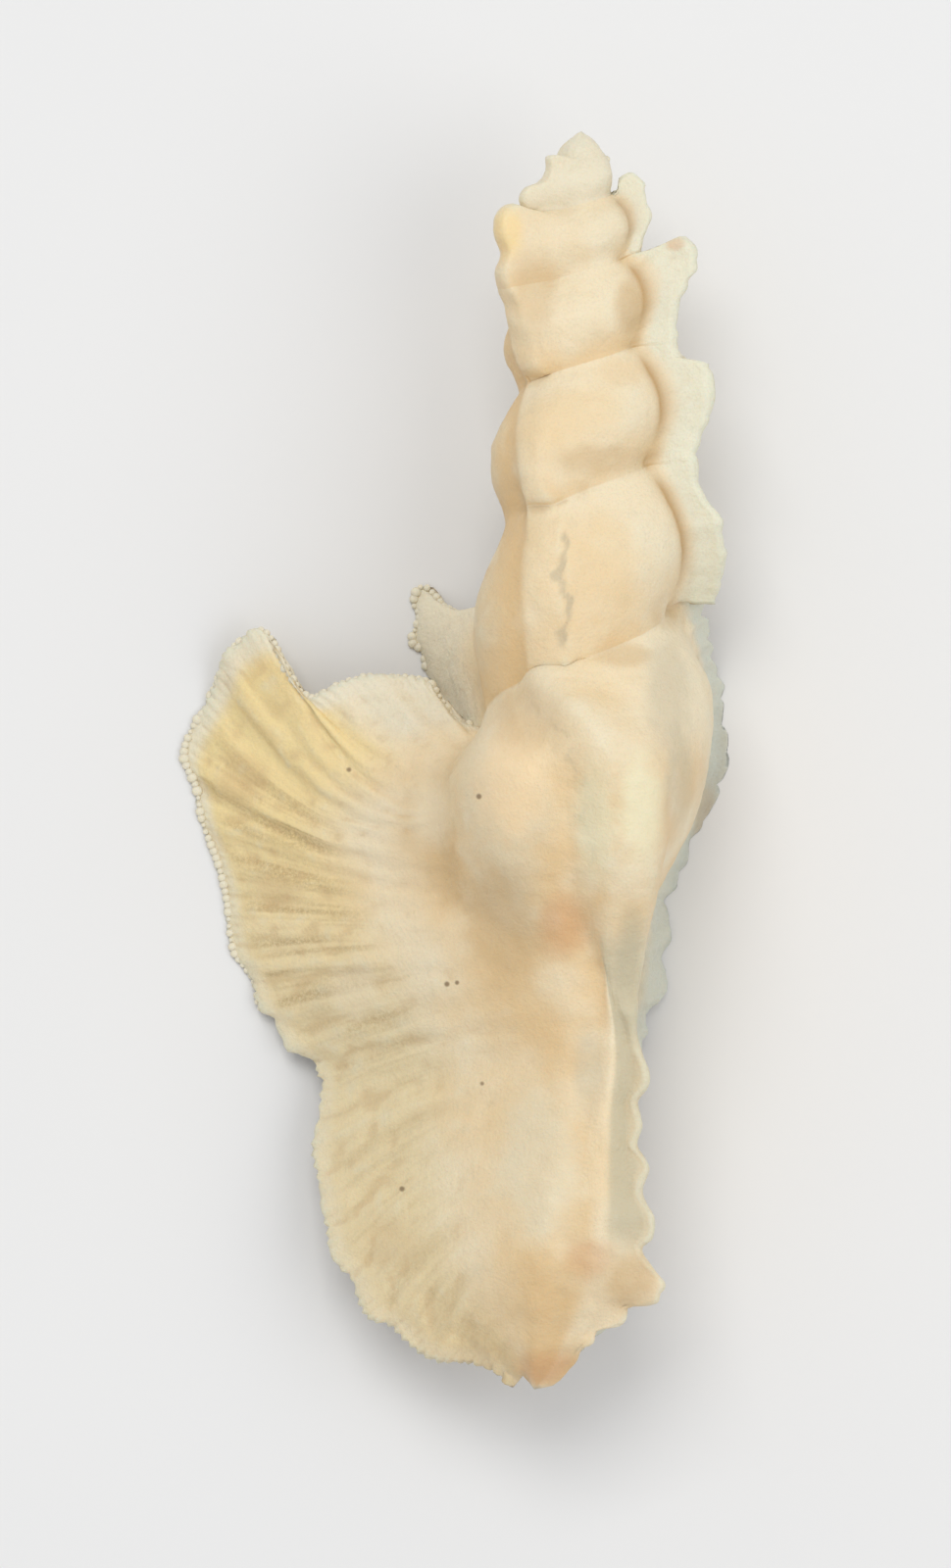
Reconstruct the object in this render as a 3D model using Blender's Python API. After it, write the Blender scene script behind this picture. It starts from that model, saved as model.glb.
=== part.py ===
# A sea shell with three winged ridges to each turn, lying on its opening side.
# The spire points along +Y and +Z is up. Lengths are in millimetres until the mesh is made.
import math

import bpy
from mathutils import Vector

MM = 0.001
NAME = "shell"

# Coil: where the seam between two turns lies, measured down from the spire tip.
SHELL_LENGTH = 75.0
WHORL_RATIO = 1.36
SUTURE_SPREAD = 42.1
SUTURE_OFFSET = 6.86
LIP_ANGLE = 165.0

# Body: radius at the seam, swelling of each turn, and the long canal below.
TIP_WIDTH = 2.0
TIP_ROUNDING = 1.46
SPIRE_SLOPE = 0.1
SPIRE_BULGE = 1.15
LAST_START_RADIUS = 6.6
LAST_RADIUS = 8.45
SHOULDER_DEPTH = 5.4
BASE_START = 39.5
BASE_FALL = 9.0
BASE_SOFTNESS = 1.9
CANAL_RADIUS = 2.7
CANAL_ROUNDING = 10.0
CANAL_BEND_START = 46.0
CANAL_BEND = -2.75
CANAL_LIFT = 0.5
SLIT_DEPTH = 0.9

# Grid: columns follow the growth of the shell, rows run from seam to seam.
BLOCK = 16
TURN = 3 * BLOCK
SPIRE_ROWS = 10
MOUTH_ROWS = 15
LAST_ROWS = 35
SPIRE_TURNS = 6.85
ROW_J_START = 35.8
ROW_J_END = 43.0
MOUTH_END = 47.4

# Winged ridges: angle of each, newest first, then the repeat for the older ones.
RIDGE_ANGLES = [
    165.0, 289.0, 408.0, 493.0, 611.0, 712.0, 848.0, 958.0, 1070.0,
    1200.0, 1292.0, 1430.0, 1560.0, 1650.0, 1795.0, 1920.0, 2015.0, 2160.0,
]
RIDGE_STEP = 120.0
# Half widths of a ridge root in degrees, on its newer and its older side.
ROOT_SIDES = {0: (14.0, 12.0), 1: (24.0, 22.0), 2: (11.0, 13.0), 3: (9.0, 9.0), 4: (13.0, 12.0)}
ROOT_SERIES = [(9.0, 9.0), (10.0, 11.0), (18.0, 11.0)]
# Along the canal a root widens or drifts round by this much.
CANAL_DRIFT = [30.0, 33.0, 0.0]
CANAL_SIDES = [(14.0, 72.0), (14.0, 14.0), (14.0, 14.0)]
NODE_RISE = 2.2
NODE_END = 53.0
NODE_FADE = 9.0
FILLET_POWER = 3.0
CANAL_FILLET = 1.7
# Half thickness of a ridge at its edge: on the body, and along the canal.
EDGE_HALVES = {0: (0.3, 0.3), 1: (1.5, 0.4), 2: (0.35, 0.3), 3: (0.28, 0.28), 4: (0.95, 0.95)}
EDGE_SERIES = [0.3, 0.75, 0.45]
FACE_STEPS = [0.0, 0.2, 0.48, 0.8, 1.0, 1.0, 0.8, 0.48, 0.2, 0.0]
LIP_STEPS = [0.0, 0.08, 0.3, 0.72, 1.0, 1.0, 0.8, 0.48, 0.2, 0.0]
FLOOR = -10.0

# Ridges of the spire: how far the edge stands from the axis, where it isn't worn down.
SPIRE_REACH = {4: 6.9, 6: 6.3, 7: 5.6, 9: 5.0, 12: 3.8, 15: 2.9}
OLD_REACH = 0.3
NOTCH = [1.06, 1.12, 1.5]
OLDEST_RIDGE = 18
# Edges with a prong, as (share of the turn, reach, rise towards the spire tip).
PRONG_EDGES = {
    5: [
        (0.0, 6.5, 0.0), (0.15, 6.7, 0.1), (0.35, 7.6, 0.3),
        (0.6, 8.3, 0.0), (0.85, 7.75, 0.0), (1.0, 7.3, 0.0),
    ],
    8: [
        (0.0, 5.3, 0.0), (0.1, 5.7, 0.3), (0.2, 6.9, 0.7), (0.3, 7.5, 0.5),
        (0.5, 7.5, 0.0), (0.75, 7.2, 0.0), (0.9, 6.7, 0.0), (1.0, 6.5, 0.0),
    ],
    10: [(0.0, 5.4, 0.0), (0.2, 5.8, 0.2), (0.4, 5.8, 0.0), (0.6, 5.2, 0.0), (1.0, 4.6, 0.0)],
    11: [
        (0.0, 4.0, 0.0), (0.1, 5.8, 1.2), (0.2, 6.5, 1.1), (0.35, 6.5, 0.3),
        (0.5, 5.9, 0.0), (0.7, 5.45, 0.0), (1.0, 5.35, 0.0),
    ],
    13: [
        (0.0, 3.6, 0.0), (0.1, 4.9, 0.9), (0.2, 5.6, 1.0),
        (0.4, 5.8, 0.2), (0.7, 5.7, 0.0), (1.0, 5.4, 0.0),
    ],
    14: [(0.0, 2.6, 0.0), (0.1, 3.1, 0.2), (0.2, 3.6, 0.5), (0.3, 3.8, 0.5), (0.5, 3.9, 0.0), (1.0, 3.4, 0.0)],
    16: [(0.0, 2.2, 0.0), (0.3, 2.6, 0.2), (0.6, 3.3, 0.0), (0.85, 3.9, 0.1), (1.0, 3.2, 0.0)],
    17: [(0.0, 1.0, 0.0), (0.2, 1.65, 0.4), (0.5, 1.75, 0.0), (1.0, 1.6, 0.0)],
}

# Edges of the four newest wings, as (row, across, drop, up).
WING_EDGES = {
    0: [
        (0, -6.0, 35.6, -4.2),
        (1, -7.4, 35.2, -4.9),
        (2, -9.3, 33.1, -6.0),
        (3, -11.8, 32.6, -7.0),
        (4, -14.2, 33.0, -7.0),
        (5, -16.0, 33.9, -5.3),
        (6, -17.2, 32.5, -5.2),
        (7, -18.3, 30.7, -6.0),
        (8, -19.5, 29.9, -6.8),
        (9, -21.2, 32.2, -8.8),
        (10, -22.7, 34.2, -9.9),
        (11, -23.6, 36.0, -10.2),
        (12, -23.5, 38.2, -10.2),
        (13, -22.7, 41.0, -10.2),
        (14, -22.0, 43.6, -10.2),
        (15, -21.4, 46.0, -10.2),
        (16, -20.8, 48.4, -10.1),
        (17, -20.0, 50.4, -9.8),
        (18, -18.7, 52.5, -9.3),
        (19, -17.4, 54.9, -8.6),
        (20, -15.8, 56.0, -8.0),
        (21, -15.1, 57.6, -7.5),
        (22, -15.6, 60.0, -7.0),
        (23, -15.5, 62.0, -6.5),
        (24, -15.1, 64.2, -5.9),
        (25, -14.7, 66.2, -5.2),
        (26, -14.2, 68.1, -4.5),
        (27, -13.2, 69.7, -3.8),
        (28, -11.9, 71.2, -3.1),
        (29, -10.3, 72.5, -2.4),
        (30, -8.6, 72.8, -1.8),
        (31, -7.0, 73.1, -1.2),
        (32, -5.7, 73.8, -0.6),
        (33, -4.6, 74.5, -0.2),
        (34, -3.6, 74.7, 0.1),
        (35, -2.75, 75.0, 0.5),
    ],
    1: [
        (0, 0.2, 31.0, 5.7),
        (2, 1.4, 32.7, 7.4),
        (5, 2.7, 35.4, 9.0),
        (10, 3.6, 40.0, 9.5),
        (13, 3.6, 44.4, 8.7),
        (15, 3.2, 47.4, 7.4),
        (17, 2.7, 50.2, 6.0),
        (19, 2.9, 53.0, 5.3),
        (20, 3.4, 54.6, 5.1),
        (22, 3.1, 57.4, 5.0),
        (24, 3.2, 60.6, 4.9),
        (26, 3.5, 63.6, 4.8),
        (28, 3.7, 66.6, 4.6),
        (29, 4.7, 68.5, 4.3),
        (31, 2.7, 70.1, 3.4),
        (33, 0.6, 72.3, 2.4),
        (34, -0.6, 73.5, 1.6),
        (35, -2.75, 75.0, 0.5),
    ],
    2: [
        (0, 6.9, 27.3, -3.3),
        (2, 7.5, 29.5, -5.2),
        (4, 8.1, 31.6, -8.2),
        (6, 8.5, 33.3, -10.2),
        (8, 8.3, 36.0, -10.2),
        (11, 7.3, 40.0, -10.2),
        (13, 6.2, 43.4, -10.2),
        (15, 5.0, 46.6, -10.2),
        (16, 5.2, 48.2, -10.0),
        (18, 5.0, 51.4, -9.4),
        (20, 3.6, 54.2, -8.4),
        (24, 2.6, 60.6, -7.2),
        (28, 2.6, 66.4, -6.2),
        (31, 2.4, 70.0, -4.6),
        (33, 0.6, 72.4, -2.4),
        (35, -2.75, 75.0, 0.5),
    ],
    3: [
        (0, -3.8, 25.2, -4.8),
        (1, -4.2, 26.3, -5.2),
        (2, -4.9, 27.4, -6.1),
        (3, -6.3, 28.4, -7.6),
        (4, -7.9, 28.2, -9.1),
        (5, -9.4, 27.2, -10.1),
        (6, -10.0, 28.7, -10.2),
        (7, -9.9, 30.6, -10.2),
        (8, -9.1, 32.0, -10.0),
        (9, -7.8, 33.9, -8.0),
        (10, -5.9, 35.7, -4.4),
    ],
}
# How far the sheet of a wing bows towards the canal, by row.
WING_BOWS = {
    0: [
        (0, 0.0), (2, 0.2), (4, 0.8), (5, 1.2), (6, 2.0), (7, 2.5),
        (8, 2.7), (9, 2.4), (11, 1.3), (14, 0.3), (16, 0.0),
    ],
    3: [(0, 0.0), (3, 0.0), (5, 0.8), (8, 0.2), (10, 0.0)],
}

# Opening: angles of its two sides down the shell, and the hollow that winds inward.
LIP_SIDE = [
    (35.0, 140.0), (37.0, 148.0), (39.0, 151.0), (41.5, 150.0), (43.2, 145.0),
    (44.8, 136.0), (46.2, 124.0), (47.4, 112.0), (75.0, 112.0),
]
COLUMELLA_SIDE = [
    (35.0, 140.0), (36.5, 120.0), (38.0, 106.0), (40.0, 100.0), (43.5, 99.0),
    (45.5, 102.0), (46.6, 107.0), (47.4, 112.0), (75.0, 112.0),
]
LIP_RAISE = 0.5
# Each section of the hollow: angle, distance from the axis, drop, half width, half height.
HOLLOW_SECTIONS = [
    (172.0, 4.9, 40.3, 2.3, 3.3),
    (206.0, 4.9, 39.6, 2.0, 2.8),
    (240.0, 4.9, 38.8, 1.5, 2.1),
    (266.0, 4.9, 38.2, 0.8, 1.1),
]
HOLLOW_END = (276.0, 4.9, 38.0)


def smooth(value):
    """Soft step from 0 to 1."""
    value = min(1.0, max(0.0, value))
    return value * value * (3.0 - 2.0 * value)


def mix(start, end, share):
    return start + (end - start) * share


def lookup(points, at):
    """Values at one place along a list of points whose first number increases."""
    if at <= points[0][0]:
        return points[0][1:]
    for low, high in zip(points, points[1:]):
        if at <= high[0]:
            share = (at - low[0]) / (high[0] - low[0])
            return tuple(mix(a, b, share) for a, b in zip(low[1:], high[1:]))
    return points[-1][1:]


def place(angle, radius, drop):
    """Point at an angle round the coil axis, which bends along the canal."""
    turn = math.radians(angle)
    along = max(0.0, drop - CANAL_BEND_START) / (SHELL_LENGTH - CANAL_BEND_START)
    across = CANAL_BEND * smooth(along) + radius * math.cos(turn)
    up = CANAL_LIFT * along * along - radius * math.sin(turn)
    return Vector((across, -drop, up))


def suture_drop(angle):
    turn = (angle - LIP_ANGLE) / 360.0
    return max(0.0, SUTURE_SPREAD * WHORL_RATIO ** -turn - SUTURE_OFFSET)


def suture_radius(drop):
    return TIP_WIDTH * (1.0 - math.exp(-drop / TIP_ROUNDING)) + SPIRE_SLOPE * drop


def ridge_angle(ridge):
    if ridge < len(RIDGE_ANGLES):
        return RIDGE_ANGLES[ridge]
    return RIDGE_ANGLES[-1] + RIDGE_STEP * (ridge - len(RIDGE_ANGLES) + 1)


def sheared(ridge, row):
    """Ridge angle, drawn towards the ridges of the turns above and below at the seams."""
    angle = ridge_angle(ridge)
    share = min(1.0, row / SPIRE_ROWS)
    above = 0.5 * (ridge_angle(ridge + 3) - 360.0 - angle)
    shifted = angle + above * (1.0 - share) ** 2
    if ridge >= 3:
        below = 0.5 * (ridge_angle(ridge - 3) + 360.0 - angle)
        shifted += below * share ** 2
    return shifted


def root_angles(ridge, row):
    """Angles of the newer side, the middle and the older side of a ridge root."""
    middle = sheared(ridge, row)
    newer, older = ROOT_SIDES.get(ridge, ROOT_SERIES[ridge % 3])
    if ridge < 3:
        along = smooth((row - MOUTH_ROWS + 2.0) / 7.0)
        middle += CANAL_DRIFT[ridge] * along
        newer = mix(newer, CANAL_SIDES[ridge][0], along)
        older = mix(older, CANAL_SIDES[ridge][1], along)
    return middle - newer, middle, middle + older


def column_angle(column, row):
    """Angle of a grid column, counted back from the lip."""
    ridge, step = divmod(column, BLOCK)
    newer, middle, older = root_angles(ridge, row)
    if step <= 9 and ridge > OLDEST_RIDGE:
        return mix(newer, older, step / 9)
    if step <= 9:
        return {0: newer, 9: older}.get(step, middle)
    share = (step - 9) / (BLOCK - 9)
    end = root_angles(ridge + 1, row)[0]
    if column > 2 * BLOCK and row > SPIRE_ROWS and column <= TURN:
        end = 360.0 + lookup(COLUMELLA_SIDE, last_drop(column, row))[0]
    return mix(older, end, share)


def last_drop(column, row):
    """Drop of a row in the last turn, from its seam to the tip of the canal."""
    age = column / TURN
    below = mix(ROW_J_END, ROW_J_START, age)
    if row <= SPIRE_ROWS:
        top = suture_drop(column_angle(column, 0))
        return mix(top, below, row / SPIRE_ROWS)
    if row <= MOUTH_ROWS:
        return mix(below, MOUTH_END, (row - SPIRE_ROWS) / (MOUTH_ROWS - SPIRE_ROWS))
    return mix(MOUTH_END, SHELL_LENGTH, (row - MOUTH_ROWS) / (LAST_ROWS - MOUTH_ROWS))


def canal_radius(drop):
    past = max(0.0, drop - (SHELL_LENGTH - CANAL_ROUNDING)) / CANAL_ROUNDING
    return CANAL_RADIUS * math.sqrt(max(0.0, 1.0 - past * past))


def node_share(column):
    """Swelling between two ridges."""
    step = column % BLOCK
    share = max(0.0, (step - 9) / (BLOCK - 9))
    return 0.8 + 0.4 * math.sin(math.pi * share ** 1.4)


def spire_profile(column, row):
    """Radius and drop on one turn of the spire."""
    share = row / SPIRE_ROWS
    top = suture_drop(column_angle(column, 0))
    low = suture_drop(column_angle(column, SPIRE_ROWS) - 360.0)
    drop = mix(top, low, share)
    bulge = SPIRE_BULGE * (1.0 - math.exp(-low / 5.0)) * node_share(column)
    radius = mix(suture_radius(top), suture_radius(low), share) + bulge * math.sin(math.pi * share)
    return radius, drop


def last_radius(column, drop):
    age = column / TURN
    top = suture_drop(column_angle(column, 0))
    widest = mix(LAST_START_RADIUS, LAST_RADIUS, smooth((1.0 - age) / 0.42))
    centre = BASE_START + BASE_FALL * (1.0 - age)
    canal = canal_radius(drop)
    outer = canal + (widest - CANAL_RADIUS) / (1.0 + math.exp((drop - centre) / BASE_SOFTNESS))
    outer += NODE_RISE * (node_share(column) - 1.0) * smooth((NODE_END - drop) / NODE_FADE)
    ramp = math.sin(0.5 * math.pi * min(1.0, (drop - top) / SHOULDER_DEPTH))
    return mix(suture_radius(top), outer, ramp)


def body_profile(column, row):
    """Radius and drop of the rounded body, with no wing on it."""
    if column > TURN or (column == TURN and row <= SPIRE_ROWS):
        return spire_profile(column, row)
    drop = last_drop(column, row)
    radius = last_radius(column, drop)
    young = smooth((TURN - column) / 10.0)
    if row <= SPIRE_ROWS:
        return mix(spire_profile(column, row)[0], radius, young), drop
    seam_drop = last_drop(column, SPIRE_ROWS)
    gap = spire_profile(column, SPIRE_ROWS)[0] - last_radius(column, seam_drop)
    return radius + (1.0 - young) * gap * math.exp((seam_drop - drop) / 2.0), drop


def body_point(column, row, angle=None):
    radius, drop = body_profile(column, row)
    return place(column_angle(column, row) if angle is None else angle, radius, drop)


def mouth_point(column, row):
    """Rim of the opening, and the slit of the canal below it."""
    drop = last_drop(column, row)
    radius, drop = body_profile(column, row)
    sides = LIP_SIDE if column == 0 else COLUMELLA_SIDE
    angle = lookup(sides, drop)[0]
    if row >= MOUTH_ROWS:
        return place(angle, max(0.3, radius - SLIT_DEPTH), drop)
    rise = LIP_RAISE * math.sin(math.pi * min(1.0, row / MOUTH_ROWS))
    return place(angle, radius + rise, drop)


def spire_edge(ridge, row):
    """Edge of an older ridge: notched at the seams, some with a prong near the top."""
    share = row / SPIRE_ROWS
    radius, drop = spire_profile(ridge * BLOCK + 4, row)
    if ridge in PRONG_EDGES:
        reach, rise = lookup(PRONG_EDGES[ridge], share)
        return place(sheared(ridge, row), reach, drop - rise)
    notch = mix(1.0, NOTCH[ridge % 3], smooth(drop / 9.0)) * suture_radius(drop)
    reach = max(SPIRE_REACH.get(ridge, 0.0), radius + OLD_REACH * smooth(drop / 4.0))
    return place(sheared(ridge, row), mix(notch, reach, math.sin(math.pi * share) ** 0.6), drop)


def edge_half(ridge, row):
    """Half thickness of a ridge edge, thinner where the ridge runs down the canal."""
    if ridge not in EDGE_HALVES:
        return EDGE_SERIES[ridge % 3] * min(1.0, suture_drop(ridge_angle(ridge)) / 6.0)
    body, canal = EDGE_HALVES[ridge]
    half = mix(body, canal, smooth((row - MOUTH_ROWS) / 5.0))
    return half * min(1.0, (LAST_ROWS - row) / 4.0)


def wing_edge(ridge, row):
    if ridge not in WING_EDGES:
        return spire_edge(ridge, row)
    across, drop, up = lookup(WING_EDGES[ridge], row)
    return Vector((across, -drop, up))


def wing_point(ridge, row, step):
    """Point on either face of a wing, which is thick at the root and thin at the edge."""
    share = (LIP_STEPS if ridge == 0 else FACE_STEPS)[step]
    newer, middle, older = root_angles(ridge, row)
    first = mouth_point(0, row) if ridge == 0 else body_point(ridge * BLOCK, row, newer)
    root = body_point(ridge * BLOCK + 4, row, middle)
    second = body_point(ridge * BLOCK + 9, row, older)
    edge = wing_edge(ridge, row)
    chord = edge - root
    face = Vector((-chord.z, 0.0, chord.x))
    spread = second - first
    if face.length < 0.3:
        face = spread
    face = face.normalized()
    if face.dot(spread) < 0.0:
        face.negate()
    power = FILLET_POWER
    if ridge == 0 and step > 4:
        power = mix(FILLET_POWER, CANAL_FILLET, smooth((row - MOUTH_ROWS) / 5.0))
    flare = (1.0 - share) ** power
    thick = edge_half(ridge, row) * (1.0 - flare)
    if step > 4:
        offset = (second - root) * flare + face * thick
    else:
        offset = (first - root) * flare - face * thick
    bow = lookup(WING_BOWS[ridge], row)[0] if ridge in WING_BOWS else 0.0
    bowed = Vector((0.0, -bow * math.sin(math.pi * share), 0.0))
    return root.lerp(edge, share) + bowed + offset


def grid_point(column, row):
    ridge, step = divmod(column, BLOCK)
    if column == 0 or (column == TURN and row > SPIRE_ROWS):
        point = mouth_point(column, row)
    elif step <= 9 and ridge <= OLDEST_RIDGE:
        point = wing_point(ridge, row, step)
    else:
        point = body_point(column, row)
    point.z = max(point.z, FLOOR)
    return point


def hollow_rings(rim):
    """Rings of the hollow that winds in behind the opening, and its closed end."""
    rings = []
    for angle, radius, drop, half_width, half_height in HOLLOW_SECTIONS:
        ring = []
        for index in range(len(rim)):
            if index <= MOUTH_ROWS:
                way = 0.5 * math.pi - math.pi * index / MOUTH_ROWS
            else:
                way = -0.5 * math.pi - math.pi * (index - MOUTH_ROWS) / (len(rim) - MOUTH_ROWS)
            out = radius + half_width * math.cos(way)
            ring.append(place(angle, out, drop - half_height * math.sin(way)))
        rings.append(ring)
    first = [edge.lerp(inner, 0.45) for edge, inner in zip(rim, rings[0])]
    return [first] + rings


def build_shell():
    """One closed skin: spiral grid, wings pulled out of it, and the hollow opening."""
    first = round(SPIRE_TURNS * TURN)
    points = []
    index = {}

    def add(point):
        points.append(point)
        return len(points) - 1

    apex = add(place(0.0, 0.0, 0.0))
    canal_tip = add(place(0.0, 0.0, SHELL_LENGTH))
    for column in range(first, -1, -1):
        rows = LAST_ROWS if column <= TURN else SPIRE_ROWS
        for row in range(rows + 1):
            if column == first or (row == 0 and column >= first - TURN):
                index[column, row] = apex
            elif row == 0:
                index[column, row] = index[column + TURN, SPIRE_ROWS]
            elif row == LAST_ROWS:
                index[column, row] = canal_tip
            elif column == 0 and row >= MOUTH_ROWS:
                index[column, row] = index[TURN, row]
            else:
                index[column, row] = add(grid_point(column, row))

    faces = []
    for column in range(first, 0, -1):
        rows = LAST_ROWS if column <= TURN else SPIRE_ROWS
        for row in range(rows):
            corners = [
                index[column, row],
                index[column - 1, row],
                index[column - 1, row + 1],
                index[column, row + 1],
            ]
            kept = [c for n, c in enumerate(corners) if c not in corners[:n]]
            if len(kept) > 2:
                faces.append(kept)

    loop = [index[0, row] for row in range(MOUTH_ROWS + 1)]
    loop += [index[TURN, row] for row in range(MOUTH_ROWS - 1, SPIRE_ROWS, -1)]
    rim = [points[number] for number in loop]
    for ring in hollow_rings(rim):
        inner = [add(point) for point in ring]
        for n in range(len(loop)):
            after = (n + 1) % len(loop)
            faces.append([loop[n], inner[n], inner[after], loop[after]])
        loop = inner
    end = add(place(*HOLLOW_END))
    for n in range(len(loop)):
        faces.append([loop[n], end, loop[(n + 1) % len(loop)]])
    return points, faces


def clear_scene():
    for item in list(bpy.data.objects):
        bpy.data.objects.remove(item, do_unlink=True)


def shell_material():
    material = bpy.data.materials.new("shell_cream")
    material.use_nodes = True
    surface = material.node_tree.nodes["Principled BSDF"]
    surface.inputs["Base Color"].default_value = (0.80, 0.68, 0.47, 1.0)
    surface.inputs["Roughness"].default_value = 0.5
    return material


def make_part():
    points, faces = build_shell()
    middle_across = 0.5 * (max(p.x for p in points) + min(p.x for p in points))
    middle_along = 0.5 * (max(p.y for p in points) + min(p.y for p in points))
    lowest = min(p.z for p in points)
    moved = [
        ((p.x - middle_across) * MM, (p.y - middle_along) * MM, (p.z - lowest) * MM)
        for p in points
    ]
    mesh = bpy.data.meshes.new(NAME)
    mesh.from_pydata(moved, [], faces)
    mesh.materials.append(shell_material())
    mesh.update()
    part = bpy.data.objects.new(NAME, mesh)
    holder = bpy.data.collections.new("pterynotus_elongatus_shell")
    bpy.context.scene.collection.children.link(holder)
    holder.objects.link(part)
    return part


clear_scene()
make_part()
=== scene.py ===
# Winged murex shell lying on its opening side, seen from straight above.
# The coil is lofted turn by turn in millimetres, then Geometry Nodes raise the ribs, folds and scallops.
from math import cos, exp, pi, radians, sin, sqrt

import bpy
import numpy as np
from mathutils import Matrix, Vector


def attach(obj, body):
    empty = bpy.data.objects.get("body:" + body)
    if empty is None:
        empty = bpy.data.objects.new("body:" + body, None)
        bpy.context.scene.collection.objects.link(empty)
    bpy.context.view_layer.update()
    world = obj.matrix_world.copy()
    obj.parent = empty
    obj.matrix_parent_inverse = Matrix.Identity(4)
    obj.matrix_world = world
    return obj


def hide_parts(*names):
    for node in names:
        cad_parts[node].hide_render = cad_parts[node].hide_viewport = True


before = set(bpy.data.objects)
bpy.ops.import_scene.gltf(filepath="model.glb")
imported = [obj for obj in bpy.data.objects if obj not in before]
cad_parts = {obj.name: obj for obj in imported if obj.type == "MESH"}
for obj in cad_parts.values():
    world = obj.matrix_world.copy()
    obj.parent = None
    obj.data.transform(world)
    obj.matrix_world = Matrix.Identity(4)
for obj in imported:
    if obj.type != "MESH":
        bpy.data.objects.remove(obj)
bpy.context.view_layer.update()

mm = 0.001

# What a user would change on the coil: lengths in millimetres, angles in degrees.
coil = {
    "length": 75,
    "whorlRatio": 1.36,
    "sutureSpread": 42.1,
    "sutureOffset": 6.86,
    "lipAngle": 165,
    "tipWidth": 1.85,
    "tipRounding": 1.6,
    "spireSlope": 0.108,
    "spireBulge": 1.35,
    "bulgeGrowth": 0.25,
    "bulgeStart": 7,
    "bulgeSpan": 30,
    "lastStartRadius": 6.6,
    "lastRadius": 8.45,
    "shoulderDepth": 5.4,
    "baseStart": 39.5,
    "baseFall": 11,
    "baseSoftness": 2.4,
    "canalRadius": 2.7,
    "canalRounding": 10,
    "canalBendStart": 46,
    "canalBend": -2.75,
    "canalLift": 0.5,
    "slitDepth": 0.9,
    "nodeRise": 3,
    "nodeEnd": 53,
    "nodeFade": 9,
    "nodeLean": 2.2,
    "nodeFloor": 0.88,
    "nodeGains": (0.8, 1.1, 0.45),  # right, left, beside the canal ridge
    "lastGrowth": 0.42,
    "youngRate": 4.8,
    "youngFade": 2,
    "canalHump": 1.4,
    "humpRows": (13, 6, 34.5, 7),  # start, rise, end, fall
    "floorSoftness": 0.35,
    "oldestRidge": 18,
    "ridgeAngles": [
        165, 289, 408, 493, 611, 712, 848, 958, 1070,
        1200, 1292, 1430, 1560, 1650, 1795, 1920, 2015, 2160,
    ],
    "shiftAcross": 7.469,
    "shiftAlong": 37.5,
    "shiftUp": 10,
}

# Row numbers of the seam, of the opening's lower end and of the canal's tip, and how finely each part is cut.
grid = {
    "seamRow": 10,
    "mouthRow": 15,
    "tipRow": 35,
    "seamDropStart": 35.8,
    "seamDropEnd": 43,
    "mouthDrop": 47.4,
    "spireCuts": 36,
    "lastCutsPerSpire": 4,
    "mouthCuts": 54,
    "canalCuts": 134,
    "faceColumns": [27, 14, 12],
    "crestColumns": [4, 5, 4],
    "bodyColumns": [15, 15, 11],
}
seamRow, mouthRow, tipRow = grid["seamRow"], grid["mouthRow"], grid["tipRow"]

# Ridges: how wide each root is, how thick its edge, how it drifts along the canal.
ridges = {
    "rootSides": {0: (14, 12), 1: (24, 33), 2: (11, 13), 3: (9, 9)},
    "rootSeries": [(9, 9), (20, 30), (9, 11)],
    "seamAngles": {1: 249},
    "canalDrift": [30, 33, 0],
    "driftLead": 2,
    "driftRows": 7,
    "canalRows": 5,
    "canalSides": [(14, 72), (14, 14), (14, 14)],
    "edgeHalves": {0: (0.3, 0.3), 1: (1.5, 0.4), 2: (0.35, 0.3), 3: (0.28, 0.28), 4: (0.95, 0.95)},
    "edgeSeries": [0.3, 0.75, 0.45],
    "fullEdgeDrop": 6,
    "topRidgeStart": (0.45, 3.5),  # share, rows
    "tipTaper": 4,
    "newerPowers": {0: (3, 3), 1: (0.6, 1.6), 2: (3, 3), 3: (3, 3), 4: (1.5, 1.5)},
    "olderPowers": {0: (3, 1.7), 1: (1.25, 2), 2: (3, 3), 3: (3, 3), 4: (1.2, 1.2)},
    "oldPower": 1.7,
    "roundedRows": (14, 6),  # start, fade
    "bluntHalves": (0.45, 0.5),
    "roundingShares": (0.6, 0.25),
    "calmRows": 1.2,
    # Furrow of a ridge: first row, last row, place across the face, depth.
    "furrow": {1: (0.6, 13.5, 0.4, 0.4), 4: (1.8, 9.4, 0.82, 0.8), 7: (1.5, 4.5, 0.75, 0.2)},
    "reach": {4: 7, 6: 6.3, 9: 5, 12: 3.8, 15: 2.9},
    "oldReach": 0.3,
    "reachDrop": 4,
    "reachPower": 0.6,
    "notch": [1.06, 1.12, 1.5],
    "notchDrop": 9,
    "scallopPitch": {0: 0.62, 1: 2.7, 2: 1.95, 3: 0.6},
    "scallopDepth": {0: 0.14, 1: 0.1, 2: 0.5, 3: 0.14},
    "oldScallopPitch": 1.4,
    "oldScallopDepth": 0.12,
}

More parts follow.
